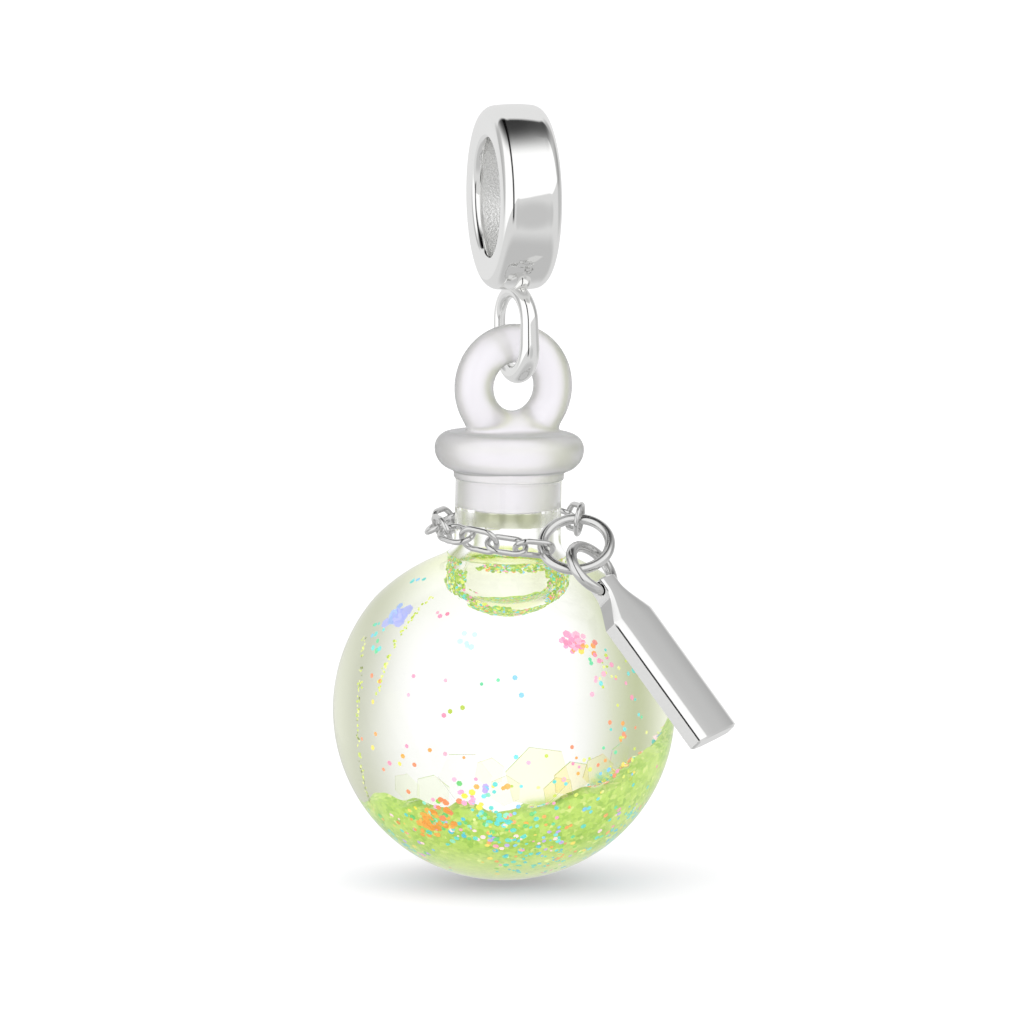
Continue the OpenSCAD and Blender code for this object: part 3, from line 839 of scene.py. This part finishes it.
def wet(tree):
    """The neck's wall over the fluid: a film of syrup and fine glitter, in level streaks."""
    place = add(tree, "TexCoord").outputs["Object"]
    stretched = add(tree, "Mapping", {"Scale": (1.0, 1.0, 3.0)}, Vector=place)
    streaks = add(tree, "TexNoise", {"Scale": 1 / (0.7 * MM), "Detail": 3.0}, Vector=stretched)
    share = add(tree, "MapRange", {"From Min": 0.4, "From Max": 0.62}, Value=streaks)
    tint = add(tree, "Mix", {"data_type": "RGBA", 6: colour("#c6da6a"), 7: colour("#fafcec")}, i0=share)
    glass = {"IOR": 1.5, "Transmission Weight": 1.0, "Roughness": 0.14}
    return add(tree, "BsdfPrincipled", glass, Base_Color=tint.outputs[2])


def on_axis(obj):
    """The distance of each face of a turned piece from the bottle's axis, and its height over the globe's
    middle."""
    centres = to_mouth(face_rows(obj, "center") / MM) + [0, 0, MOUTH_H]
    return np.hypot(centres[:, 0], centres[:, 1]), centres[:, 2]


# The ground band is given by its middle below the mouth and its half height
GROUND_DOWN, GROUND_HALF, FILM_R, FILM_H = 1.5, 0.28, 1.96, 0.8
from_axis, height = on_axis(bottle)
in_bore = (from_axis < NECK_BORE_R + 0.04) & (np.abs(height - MOUTH_H + GROUND_DOWN) < GROUND_HALF)
in_film = (from_axis < FILM_R) & (height > FILL_H - 0.05) & (height < FILL_H + FILM_H)
dress(bottle, [
    material("clear soda glass, blown and fire polished", blown),
    material("clear soda glass, ground", ground_with_painted_reflection),
    material("clear soda glass, wet with glitter", wet)], in_bore + 2 * in_film)

# %% [markdown]
# ## Fluid
# The bottle is filled with a clear syrup that lets glitter sink slowly. A renderer that is told only
# about glass and air would show a bright empty layer between the two. So the fluid's skin lies a few
# hundredths of a millimetre inside the glass, where the two bends cancel as they do in the real thing.
# A bubble of air is left in the neck. It bulges into the globe like a drop upside down. A real skin on
# air mirrors so strongly that little is seen through it. The photograph looks through it, so the skin
# has its own finish that bends light less.

# %% Fluid and its bubble
SOAK = 0.04
wall_line = flask(WALL - SOAK, NECK_BORE_R + SOAK, MOUTH_H)
wall_line = wall_line[: int(np.argmax((wall_line[:, 1] > 4) & (wall_line[:, 0] < BUBBLE_R + 0.03)))]
# It ends where it meets the bubble, whose side is straight and whose foot is half an ellipse
bubble_z = FILL_H - BUBBLE_ROUND
rim = [BUBBLE_R, wall_line[-1, 1]]
dome = arc((0, 0), 1, 0, -90, 40) * [BUBBLE_R, BUBBLE_ROUND] + [0, bubble_z]
fluid_section = np.concatenate([
    eased(wall_line, 0.1, 0.15), eased(np.concatenate([[rim], dome]), 0.05, 0.12)])
fluid = piece("glitter_fluid", [on_bottle(lathed(fluid_section, 200))], "bottle", ["liquid"])


def syrup(tree):
    """Clear syrup: colourless when looked straight into, yellow-green where the look grazes its skin."""
    graze = add(tree, "LayerWeight", {"Blend": 0.5}).outputs["Facing"]
    share = add(tree, "MapRange", {"From Min": 0.08, "From Max": 0.32}, Value=graze)
    tint = add(tree, "Mix", {"data_type": "RGBA", 6: white, 7: colour("#f0f5d0")}, i0=share)
    clear = {"IOR": 1.44, "Transmission Weight": 1.0, "Roughness": 0.0}
    return add(tree, "BsdfPrincipled", clear, Base_Color=tint.outputs[2])


def air_skin(tree):
    """The bubble's skin: clear, and bending light less than the syrup alone would."""
    clear = {"Base Color": white, "IOR": 1.25, "Transmission Weight": 1.0, "Roughness": 0.0}
    return add(tree, "BsdfPrincipled", clear)


from_axis, height = on_axis(fluid)
on_skin = (height > bubble_z - BUBBLE_ROUND - 0.03) & (from_axis < BUBBLE_R + 0.01)
dress(fluid, [
    material("carrier syrup, clear", syrup), material("carrier syrup, skin on air", air_skin)], on_skin)

# %% [markdown]
# Clear glass that is told to cast a shadow goes dark in a renderer that doesn't follow light through it.
# So bottle and fluid cast none, and the stopper and the bed of glitter make the soft shadow. The silver
# of such a photograph is taken on its own and shows no glass in it, so glass and glitter are hidden from
# mirror images.

# %% What clear things hide from
for clear in (bottle, fluid):
    clear.visible_diffuse = False
    clear.visible_shadow = False
for clear in (stopper, bottle, fluid):
    clear.visible_glossy = False
print("hidden from mirror images:", stopper.name, bottle.name, fluid.name)

# %% [markdown]
# ## Settled glitter
# Most of the glitter has sunk to a bright yellow-green bed, a little higher on the right. Its top is
# uneven and its underside follows the inner wall. It is a cap of the inner sphere cut by a leaning
# plane: one grid of rings runs out over its top, and then back under it along the wall.

# %% Bed of glitter
inner_r = GLOBE_R - WALL - FILL_GAP
slope_a = radians(BED_SLOPE)
BED_N = np.array([-sin(slope_a), 0, cos(slope_a)])
BED_X = np.array([cos(slope_a), 0, sin(slope_a)])
BED_Y = np.array([0, 1, 0])
bed_top = -GLOBE_R + FOOT_FLAT + WALL + BED_DEPTH
bed_off = bed_top * BED_N[2]


def heap(x, y):
    """Height of the heaps on the bed in mm: a few sine waves, 1 to 5 mm long, and a rise towards the rim."""
    slow = 0.16 * np.sin(1.7 * x + 0.4) * np.cos(1.3 * y - 0.7) + 0.12 * np.sin(2.9 * x - 2.1 * y + 1.0)
    fine = 0.05 * np.sin(6.1 * x + 2.3 * y) * np.sin(5.3 * y - 1.9 * x + 0.6)
    climb = 0.022 * y * y + np.where(x > 0, 0.1, 0.06) * x * x
    return slow + fine + climb


def bed_surface(rings=90, count=220):
    """Rings over the top, r (cos a, sin a) + heap, kept within the wall, then rings down along the wall."""
    a = round_turn(count)
    rim = sqrt(inner_r ** 2 - bed_off ** 2)
    r = np.linspace(0, rim, rings)[1:][:, None]
    x, y = r * np.cos(a), r * np.sin(a)
    top = x[..., None] * BED_X + y[..., None] * BED_Y + (bed_off + heap(x, y))[..., None] * BED_N
    top = top * np.minimum(1, inner_r / np.linalg.norm(top, axis=-1, keepdims=True))
    edge = unit(top[-1])
    t = np.linspace(0, 1, rings // 2)[1:-1][:, None, None]
    under = unit((1 - t) * edge[None] + t * -BED_N) * inner_r
    foot = -GLOBE_R + FOOT_FLAT + WALL + FILL_GAP
    under[..., 2] = np.maximum(under[..., 2], foot)
    grid = np.concatenate([top, under])
    points, faces = capped(grid)
    points[-2] = (bed_off + heap(0, 0)) * BED_N
    points[-1] = -BED_N * inner_r
    points[-1, 2] = foot
    return shell(points, faces)


bed = piece("settled_glitter", [on_bottle(bed_surface())], "bottle", ["glitter_bed"])


# %% Finish of the bed
# Widths of a flake and of a drift of colour, and height of the painted light at the foot, in mm
FLAKE, DRIFT, PAINTED_FOOT_H = 0.16, 1.6, 1.5


def sediment(tree):
    """Wet fine glitter: cells of a flake's width in lime, leaf green and straw, in paler and deeper drifts.
    Painted light makes it palest at its foot, and a faint painted glow of its own colour brightens it.
    The paper is lit as by a grey bed, because the studio's white paper shows no green spill."""
    place = add(tree, "TexCoord").outputs["Object"]
    cells = add(tree, "TexVoronoi", {"Scale": 1 / (FLAKE * MM), "Randomness": 1.0}, Vector=place)
    pick = add(tree, "SeparateColor", Color=cells.outputs["Color"])
    ramp = add(tree, "ValToRGB", Fac=pick)
    stops = ramp.color_ramp.elements
    stops[0].color, stops[1].color = colour("#8cbe2c"), colour("#d6e684")
    for position, code in [(0.35, "#a8d040"), (0.6, "#badc5c"), (0.8, "#9ac836")]:
        stops.new(position).color = colour(code)
    drifts = add(tree, "TexNoise", {"Scale": 1 / (DRIFT * MM), "Detail": 2.0}, Vector=place)
    paler = {"From Min": 0.45, "From Max": 0.7, "To Min": 0.0, "To Max": 0.6}
    pale = add(tree, "MapRange", paler, Value=drifts)
    mixed = add(tree, "Mix", {"data_type": "RGBA", 7: colour("#d2e680")}, i0=pale, i6=ramp)
    height = add(tree, "SeparateXYZ", Vector=place).outputs["Z"]
    # Painted light: the colour pales towards the lowest part of the bed
    foot = (globe_z - inner_r) * MM
    painted_foot_light = add(
        tree, "MapRange",
        {"interpolation_type": "SMOOTHSTEP", "From Min": foot, "From Max": foot + PAINTED_FOOT_H * MM, "To Min": 0.75,
         "To Max": 0.0},
        Value=height)
    soft = add(tree, "Mix", {"data_type": "RGBA", 7: colour("#e9f6bc")}, i0=painted_foot_light, i6=mixed.outputs[2])
    dent = add(tree, "Bump", {"Strength": 0.35, "Distance": 0.05 * MM}, Height=pick)
    spill = add(tree, "LightPath").outputs["Is Diffuse Ray"]
    spilt = add(tree, "Mix", {"data_type": "RGBA", 7: colour("#3c3c3c")}, i0=spill, i6=soft.outputs[2])
    # Painted light: the bed glows faintly with its own colour to all but diffuse rays
    lit = add(tree, "MapRange", {"To Min": 0.2, "To Max": 0.0}, Value=spill)
    return add(
        tree, "BsdfPrincipled", {"Roughness": 0.45}, Base_Color=spilt.outputs[2],
        Emission_Color=soft.outputs[2], Emission_Strength=lit, Normal=dent)


bed.data.materials.append(material("settled glitter, wet", sediment))
bed.visible_glossy = False
print("width of a cell of the bed, mm:", FLAKE)

# %% [markdown]
# ## Loose flakes
# Glitter is punched from coated film in tiny hexagons. Each flake is a thin six-sided plate. All of one
# kind share one mesh: an array of centres, directions, sizes and colours gives every corner at once.


# %% Flakes from arrays
def flakes(centres, facing, across, thickness=0.02):
    """Hexagonal plates: centre + across / 2 (cos a u + sin a v) +- thickness / 2 along facing."""
    n = len(centres)
    w = unit(facing)
    helper = np.where(np.abs(w[:, 2:]) < 0.9, [[0, 0, 1]], [[1, 0, 0]])
    u = unit(np.cross(helper, w))
    v = np.cross(w, u)
    spin = rng.uniform(0, 60, n)
    a = np.radians(spin[:, None] + 60 * np.arange(6))
    flat = np.cos(a)[..., None] * u[:, None] + np.sin(a)[..., None] * v[:, None]
    flat = centres[:, None] + flat * (across / 2)[:, None, None]
    lift = thickness / 2 * w[:, None]
    points = np.concatenate([flat + lift, flat - lift], 1).reshape(-1, 3)
    k = np.arange(6)
    sides = np.stack([k, k + 6, (k + 1) % 6 + 6, (k + 1) % 6], 1)
    start = 12 * np.arange(n)[:, None, None]
    return points, [start[:, 0] + k, start[:, 0] + 11 - k, (start + sides).reshape(-1, 4)]


def flake_piece(name, centres, facing, across, codes, mat, thickness=0.02):
    """One mesh of flakes. Codes holds one colour for each flake, or fewer to be picked from."""
    points, faces = flakes(centres, facing, across, thickness)
    obj = piece(name, [(from_globe(points), faces)], "bottle", (), corner=20)
    palette = np.array([colour(code) for code in codes])
    chosen = palette if len(codes) == len(centres) else palette[rng.integers(0, len(palette), len(centres))]
    layer = obj.data.color_attributes.new("flake_colour", "FLOAT_COLOR", "POINT")
    layer.data.foreach_set("color", np.repeat(chosen, 12, 0).ravel())
    obj.data.materials.append(mat)
    obj.visible_glossy = False


def film(glow, sheen, clear, index):
    """Coated film: its own colour with a sheen and a faint painted glow of that colour, or clear, where the
    index is taken against the syrup.
    """
    def surface(tree):
        tint = add(tree, "VertexColor", {"layer_name": "flake_colour"})
        finish = {
            "Roughness": 0.22, "Metallic": sheen, "Emission Strength": glow, "Transmission Weight": clear,
            "IOR": index}
        return add(tree, "BsdfPrincipled", finish, Base_Color=tint, Emission_Color=tint)
    return surface


# The coloured film glows faintly with painted light, and the pearl film doesn't glow
bright_film = material("polyester glitter, iridescent coated", film(0.3, 0.25, 0.0, 1.5))
pearl_film = material("polyester glitter, clear pearl coated", film(0.0, 0.0, 1.0, 1.06))
HUES = ["#58d6cf", "#42bfe0", "#f29ac0", "#f2a860", "#f4dc62", "#8fd64c", "#b9a4ee", "#e8f7a0", "#ffd9e8"]

# %% Flakes on and round the bed
ON_BED, BED_REACH, ON_WALL, WALL_FOOT = 1000, 4.3, 1100, -0.955
angle, reach = rng.uniform(0, 2 * np.pi, ON_BED), np.sqrt(rng.uniform(0, 1, ON_BED)) * BED_REACH
x, y = reach * np.cos(angle), reach * np.sin(angle)
on_top = x[:, None] * BED_X + y[:, None] * BED_Y + (bed_off + heap(x, y) + 0.05)[:, None] * BED_N
on_top *= np.minimum(1, (inner_r - 0.1) / np.linalg.norm(on_top, axis=1))[:, None]
tip = rng.normal(0, 0.5, (ON_BED, 3))
flake_piece("flakes_on_the_bed", on_top, BED_N + tip, rng.uniform(0.12, 0.26, ON_BED), HUES, bright_film)
# Along the wall they lie in patches below the bed's edge, and fewer and fewer above it
angle, height = rng.uniform(0, 2 * np.pi, ON_WALL), rng.uniform(-0.99, -0.52, ON_WALL)
level_r = np.sqrt(1 - height ** 2)
wall_way = polar(level_r, angle, height)
below = (wall_way @ BED_N) * inner_r < bed_off + 0.55 * rng.exponential(1.0, ON_WALL) - 0.1
patch = np.sin(4.1 * angle + 6 * height) + np.cos(9 * height - 2.3 * angle + 1) + rng.normal(0, 0.5, ON_WALL)
kept = below & (patch > -0.5)
wall_way, patch = wall_way[kept], patch[kept]
wall_way[:, 2] = np.maximum(wall_way[:, 2], WALL_FOOT)
picked = rng.integers(0, len(HUES), len(patch))
codes = [HUES[k % 2] if p > 0.9 else HUES[k] for k, p in zip(picked, patch)]
flake_piece(
    "flakes_along_the_wall", wall_way * (inner_r + 0.005), wall_way + rng.normal(0, 0.12, wall_way.shape),
    rng.uniform(0.09, 0.24, len(wall_way)), codes, bright_film, 0.012)
print("flakes:", ON_BED, len(wall_way))

# %% [markdown]
# Some flakes stand out: large pale hexagons over the bed, a pink drift on the right, lilac and blue ones
# on the left, and a thin line of specks that dried on along the left wall. Each is given by where it is
# seen, in mm to the right of the globe's middle and above it, and is then traced through the curved
# glass to its place on the inner wall, so it really sits there from every side.


# %% Flakes on the inner wall
INDEX, SEEN_R = 1.5, 6.2


def on_wall(right, up, reach):
    """Where a ray that meets the globe at (right, up) crosses radius reach inside it.
    With b the distance from the middle: the place is turned by asin(b/R) - asin(b/nR) + asin(b/nr)."""
    b = np.hypot(right, up)
    angle = np.arcsin(b / GLOBE_R) - np.arcsin(b / (INDEX * GLOBE_R)) + np.arcsin(b / (INDEX * reach))
    side = (right / b)[..., None] * RIGHT + (up / b)[..., None] * UP
    return reach * (np.sin(angle)[..., None] * side + np.cos(angle)[..., None] * BACK)


def drift(right, up, wide, high, count, width, codes):
    """Flakes scattered round (right, up): rows of right, up and width, and a colour for each."""
    place = np.array([right, up]) + rng.normal(0, 1, (count, 2)) * [wide, high]
    place *= np.minimum(1, SEEN_R / np.hypot(place[:, 0], place[:, 1]))[:, None]
    rows = np.column_stack([place, width * rng.uniform(0.7, 1.3, count)])
    return rows, [codes[k] for k in rng.integers(0, len(codes), count)]


def streak(stops, count, width, codes):
    """Specks along a line through the stops, each a little off it, with a colour for each."""
    stops = np.array(stops)
    t = np.sort(rng.uniform(0, len(stops) - 1, count))
    place = np.stack([np.interp(t, np.arange(len(stops)), stops[:, k]) for k in (0, 1)], 1)
    rows = np.column_stack([place + rng.normal(0, 0.035, (count, 2)), width * rng.uniform(0.6, 1.5, count)])
    return rows, [codes[k] for k in rng.integers(0, len(codes), count)]


def wall_group(name, groups, mat, thickness, reach, tilt):
    """One piece of flakes from groups of rows and colours, each flake lying almost flat on the wall."""
    table = np.concatenate([rows for rows, _ in groups])
    codes = [code for _, chosen in groups for code in chosen]
    centres = on_wall(table[:, 0], table[:, 1], reach)
    facing = unit(centres) + rng.normal(0, tilt, centres.shape)
    flake_piece(name, centres, facing, table[:, 2], codes, mat, thickness)


# %% Groups of flakes
PINK, WARM = ["#f58fb4", "#f29ac0", "#f7b4cf"], ["#f3a24e", "#f6b04a", "#ee8f66", "#f4dc5a"]
COOL, LIME = ["#6fdde0", "#57d3cc", "#7fc8f2", "#66d9a0"], ["#c8dc4c", "#dce86a", "#b4cc3c", "#e8ee96"]
LILAC, AMBER = ["#a9b0f8", "#b4b8fa", "#9fb8f8"], ["#f2a03c", "#e8942c", "#f0b048"]
MINT = ["#57d3cc", "#8fe4c8", "#66cc70"]
MIXED = PINK + WARM + COOL + ["#b9a4ee", "#8fd64c"]
# Each drift: right, up, spread in both, count, width and colours
drifts = [drift(*row) for row in [
    (2.62, 2.66, 0.2, 0.16, 34, 0.26, PINK), (2.9, 2.45, 0.25, 0.12, 16, 0.2, ["#ee8f8a"] + WARM),
    (3.5, 2.05, 0.35, 0.2, 9, 0.17, ["#ee7f86"] + COOL + PINK), (3.5, 1.3, 0.2, 0.1, 3, 0.2, PINK),
    (3.9, 1.7, 0.4, 0.3, 12, 0.12, LIME), (-4.15, 3.45, 0.18, 0.2, 14, 0.4, LILAC),
    (-4.9, 2.8, 0.15, 0.5, 10, 0.18, COOL), (-3.4, 4.9, 0.12, 0.1, 4, 0.2, COOL),
    (-2.4, 3.6, 0.1, 0.25, 3, 0.2, WARM + PINK), (-1.4, 2.6, 0.15, 0.2, 6, 0.2, ["#c4f0f2"]),
    (0.2, 1.0, 0.7, 0.3, 4, 0.17, COOL), (-2.2, 0.3, 1.2, 0.6, 6, 0.17, LIME + PINK),
    (-5.0, -0.5, 0.25, 1.4, 8, 0.16, WARM), (-3.2, -1.9, 0.9, 0.4, 8, 0.17, PINK + WARM),
    (4.6, -1.0, 0.4, 0.8, 24, 0.16, COOL + LIME + WARM), (4.3, 0.9, 0.5, 0.7, 8, 0.17, PINK + COOL),
    (3.0, -2.4, 1.3, 0.5, 34, 0.16, MIXED + LIME), (-0.6, -2.9, 1.5, 0.3, 14, 0.2, MIXED),
    (-2.7, -4.3, 0.4, 0.26, 60, 0.24, AMBER), (-1.0, -4.3, 1.3, 0.4, 50, 0.22, MINT),
    (1.6, -4.4, 1.6, 0.6, 50, 0.18, MIXED + COOL),
    (-2.0, -3.4, 1.2, 0.3, 20, 0.24, ["#f4e33c", "#ee8a5a", "#f0a8d0"]),
]]
streaks = [
    streak([(-2.75, 4.37), (-3.51, 3.52), (-4.15, 2.48), (-4.55, 1.51), (-4.79, 0.55)], 60, 0.09, LIME),
    streak([(-5.35, 2.64), (-5.48, 1.03), (-5.54, -0.41), (-5.43, -1.86), (-5.19, -3.14), (-4.87, -3.94)],
           120, 0.08, LIME + ["#7c8a3a"])]
wall_group("flakes_seen_singly", drifts + streaks, bright_film, 0.012, inner_r + 0.008, 0.12)
# Each pearl: right, up, width and colour
pearls = [
    (1.31, -2.45, 2.5, "#fffce4"), (-1.42, -2.5, 2.0, "#fdfefa"), (-2.62, -3.1, 1.4, "#fafdf0"),
    (3.6, -2.2, 1.3, "#fffbdc"), (2.6, -2.5, 1.5, "#fffadc"), (0.1, -3.0, 1.2, "#fcfdf0"),
    (4.4, -1.6, 1.0, "#fdfef4"), (-3.6, -3.0, 1.2, "#fafdf0"), (2.1, -3.0, 1.2, "#fffad8"),
    (-0.5, -2.3, 1.1, "#fffdf0")]
rows, codes = np.array([pearl[:3] for pearl in pearls]), [pearl[3] for pearl in pearls]
wall_group("pearl_hexagons", [(rows, codes)], pearl_film, 0.05, inner_r - 0.25, 0.08)

# %% [markdown]
# The bubble's skin holds a scum of the lightest glitter. It rings the bubble where that meets the neck,
# and lies in patches below, with a clear window in front and behind. Flakes on the dome's far side would
# only show as black specks through the skin, so there are none.

# %% Scum on the bubble
SCUM, DOME_SHARE, WINDOW, WINDOW_TOP, OFF_SKIN = 8500, 0.62, 0.7, 4.9, 0.02
height = rng.uniform(0.0, 1.0, SCUM)
angle = rng.uniform(0, 2 * np.pi, SCUM)
low = -90 * rng.uniform(0, 1, SCUM) ** 0.7
on_dome = rng.uniform(0, 1, SCUM) < DOME_SHARE
skin_r = np.where(on_dome, BUBBLE_R * np.cos(np.radians(low)), BUBBLE_R) + OFF_SKIN
on_neck_z = height * (rim[1] - bubble_z)
skin_z = bubble_z + np.where(on_dome, BUBBLE_ROUND * np.sin(np.radians(low)), on_neck_z) - OFF_SKIN
skin = polar(skin_r, angle, skin_z)
normal = polar(skin_r, angle, np.where(on_dome, (skin_z - bubble_z) * 2, 0))
swirl = (np.sin(3 * angle + 2.4 * skin_z) + 0.8 * np.sin(5 * angle - 4.1 * skin_z + 1)
         + 0.5 * np.sin(9 * skin_z))
window = (np.abs(unit(normal) @ BACK) > WINDOW) & (skin_z < WINDOW_TOP)
far_side = on_dome & (normal @ BACK < -0.1)
kept = (swirl > -0.6) & ~window & ~far_side
count = int(kept.sum())
GREENS = LIME * 2 + ["#a8c83c", "#9cc040", "#8fb83a", "#84ac30"] * 4
flake_piece(
    "scum_on_the_bubble", skin[kept], normal[kept] + rng.normal(0, 0.3, (count, 3)),
    rng.uniform(0.08, 0.2, count), GREENS + COOL + PINK[:2] + WARM[:1], bright_film, 0.012)

# %% [markdown]
# ## Chain and rings
# The chain's links are ovals of fine drawn wire, each turned across its neighbour. A smooth line runs
# through chosen points from one side of the charm ring round the neck to the other, and each link sits
# on it at an equal step. The jump rings are plain circles of thicker wire.


# %% Frames of the tag and the charm ring
def tag_dir(v):
    """A direction of the tag's own frame, whose Z runs up its length, in the bottle's frame."""
    return turned(leant(turned(v, TAG_TWIST), -TAG_LEAN), TAG_TURN)


def charm_dir(v):
    """A direction of the charm ring's own frame, whose Z is the ring's axis, in the bottle's frame."""
    return turned(leant(v, CHARM_TILT), CHARM_TURN)


tag_ring_r = (TAG_RING_D - TAG_RING_WIRE) / 2
tag_ring_out = NECK_R + TAG_RING_REACH
tag_ring_up = sqrt((GLOBE_R + TAG_RING_LIFT) ** 2 - tag_ring_out ** 2)
tag_ring_c = turned([0, -tag_ring_out, tag_ring_up], TAG_RING_TURN)
tag_hole_c = tag_ring_c - tag_dir([0, 0, tag_ring_r])
charm_r = (CHARM_D - CHARM_WIRE) / 2
charm_pass = TAG_RING_WIRE * np.array([-0.62, 0, 0.2])


def hook(angle):
    """The middle of the charm ring's wire at an angle, measured from the ring's own middle."""
    return charm_r * charm_dir([cos(radians(angle)), sin(radians(angle)), 0])


charm_c = tag_ring_c + tag_dir(charm_pass) - hook(CHARM_HOOK)

# %% The chain's line
shoulder_top = SHOULDER_R - SHOULDER_DROP
stops = np.array(
    [charm_c + hook(FIRST_HOOK)]
    + [turned([0, -(NECK_R + out * CHAIN_W), shoulder_top + up * CHAIN_W], turn) for turn, out, up in ROUTE]
    + [charm_c + hook(LAST_HOOK)])
# Between stops p1 and p2 it is a cubic that leaves p1 along p2 - p0 and reaches p2 along p3 - p1
padded = np.concatenate([stops[:1], stops, stops[-1:]])
t = (np.arange(12) / 12)[None, :, None]
p0, p1, p2, p3 = (padded[k:k + len(stops) - 1, None] for k in range(4))
line = 0.5 * (2 * p1 + (p2 - p0) * t + (2 * p0 - 5 * p1 + 4 * p2 - p3) * t ** 2
              + (3 * p1 - p0 - 3 * p2 + p3) * t ** 3)
line = np.concatenate([line.reshape(-1, 3), stops[-1:]])
gone = gone_along(line)
print("length of the chain's line, mm:", round(gone[-1], 2))


def at(s):
    """The point at length s along the line."""
    return np.array([np.interp(s, gone, line[:, k]) for k in range(3)])


# %% Links, end ring and jump rings
inner_l, end_r = CHAIN_L - 2 * CHAIN_WIRE, (END_D - END_WIRE) / 2
ring_clear = 0.4 * CHAIN_PLAY
first_s = inner_l / 2 - CHARM_WIRE / 2 - ring_clear
end_ring_s = end_r - END_WIRE / 2 - CHARM_WIRE / 2 - ring_clear
last_s = (2 * end_r - END_WIRE - CHARM_WIRE / 2 - ring_clear - CHAIN_PLAY
          + (CHAIN_L - CHAIN_WIRE) / 2 - CHAIN_WIRE / 2)
run = gone[-1] - first_s - last_s
links = round(run / (inner_l - CHAIN_PLAY)) + 1


def placed(loop, middle, ahead, roll, diameter):
    """A flat loop set with X along ahead and Z outwards from the neck, rolled upwards by roll degrees."""
    x = unit(ahead)
    out = np.array([middle[0], middle[1], 0])
    out = unit(out - (out @ x) * x)
    side = np.cross(out, x)
    side = side * (-1 if side[2] < 0 else 1)
    z = cos(radians(roll)) * out + sin(radians(roll)) * side
    y = np.cross(z, x)
    return wire(middle + loop @ np.stack([x, y, z]), z, diameter, 16)


loops = []
for k in range(links):
    s = first_s + k * run / (links - 1)
    loops.append(placed(
        oval(CHAIN_L, CHAIN_W, CHAIN_WIRE), at(s), at(s + CHAIN_L / 4) - at(s - CHAIN_L / 4),
        LINK_ROLLS[k % len(LINK_ROLLS)], CHAIN_WIRE))
s = gone[-1] - end_ring_s
loops.append(placed(circle(end_r, 48), at(s), at(gone[-1]) - at(s - END_D / 4), END_ROLL, END_WIRE))
chain = piece("cable_chain", [on_bottle(loop) for loop in loops], "bottle", ["neck_chain"])
charm_loop = wire(charm_c + charm_dir(circle(charm_r)), charm_dir([0, 0, 1]), CHARM_WIRE, 24)
charm = piece("charm_jump_ring", [on_bottle(charm_loop)], "bottle", ["charm_ring"])
tag_loop = turned(leant(circle(tag_ring_r), 90), TAG_RING_SKEW) + [0, 0, tag_ring_r]
tag_up = tag_dir(turned([0, -1, 0], TAG_RING_SKEW))
tag_wire_loop = wire(tag_hole_c + tag_dir(tag_loop), tag_up, TAG_RING_WIRE, 24)
tag_ring = piece("tag_jump_ring", [on_bottle(tag_wire_loop)], "bottle", ["tag_ring"])
for obj in (chain, charm, tag_ring):
    obj.data.materials.append(chain_silver_painted_grey)
print("links:", links)

# %% [markdown]
# ## Bottle tag
# The tag is a flat bar of silver, sawn to the outline of a tall bottle. Its faces are buffed until they
# roll over towards the sides. One edge of each face stays crisp, the other is chamfered, and the sides
# keep the satin of the brush. The section's width follows the outline.

# %% Tag
# The roll at the face's side in degrees, and how far the crisp and the chamfered edge take from the
# face and from the side
ROLL, CRISP, CHAMFER = 12, (0.045, 0.045), (0.14, 0.06)


def tag_half_width(down):
    """Half the tag's width, down mm below its top: neck, then 0.75 t^1.4 + 0.25 t^2 (3 - 2t), then body."""
    t = np.clip((down - TAG_NECK_L) / TAG_SHOULDER_L, 0, 1)
    swell = 0.75 * t ** 1.4 + 0.25 * t * t * (3 - 2 * t)
    return (TAG_NECK_W + (TAG_W - TAG_NECK_W) * swell) / 2


# Across the face: its tilt is ROLL s^2 at share s of the half width, and it falls by the sum of tan(tilt) ds
s = np.linspace(0, 1, 22)
steep = np.tan(radians(ROLL) * s ** 2)
fall = np.concatenate([[0], np.cumsum((steep[1:] + steep[:-1]) / 2 * np.diff(s))])
across, fall = np.concatenate([-s[:0:-1], s]), np.concatenate([fall[:0:-1], fall])
shoulder_end, end_edge = TAG_NECK_L + TAG_SHOULDER_L, 0.07
down = np.concatenate([
    [0, end_edge], np.linspace(TAG_NECK_L, shoulder_end, 24),
    np.linspace(shoulder_end, TAG_L - end_edge, 12)[1:], [TAG_L]])
inset = np.where((down == 0) | (down == TAG_L), end_edge, 0)[:, None]
half = tag_half_width(down)[:, None]
size = half / (TAG_W / 2)
face_x = (half - np.where(across < 0, CRISP[0], CHAMFER[0]) * size) * across
face_y = TAG_T / 2 - half * fall - inset
front = np.stack([face_x - inset * across, -face_y], -1)
rim_y = TAG_T / 2 - half * fall[-1] - inset
right_y = np.concatenate([-(rim_y - CHAMFER[1] * size), rim_y - CRISP[1] * size], 1)
right = np.stack([np.repeat(half - inset, 2, 1), right_y], -1)
section = np.concatenate([front, right, -front, -right], 1)
level = np.broadcast_to(TAG_HOLE_IN - down[:, None], section.shape[:2])
tag_grid = np.concatenate([section, level[..., None]], -1)
blank = draft([shell(*capped(tag_grid))])
tool = draft([wire(tag_loop, turned([0, -1, 0], TAG_RING_SKEW), TAG_RING_WIRE + 2 * TAG_HOLE_GAP, 32)])
cut = blank.modifiers.new("cross hole", "BOOLEAN")
cut.operation, cut.solver, cut.object = "DIFFERENCE", "EXACT", tool
points, faces = baked(blank)
bpy.data.objects.remove(tool)
tag_shell = shell(from_globe(tag_hole_c + tag_dir(points)), faces)
tag = piece("silver_bottle_tag", [tag_shell], "bottle", ["bottle_tag"], corner=25)
across_tag = hung(tag_dir([1, 0, 0]) + PIVOT) - hung(PIVOT)
sideways = np.abs(face_rows(tag, "normal") @ across_tag) > 0.9
dress(tag, [silver, satin_silver], sideways)
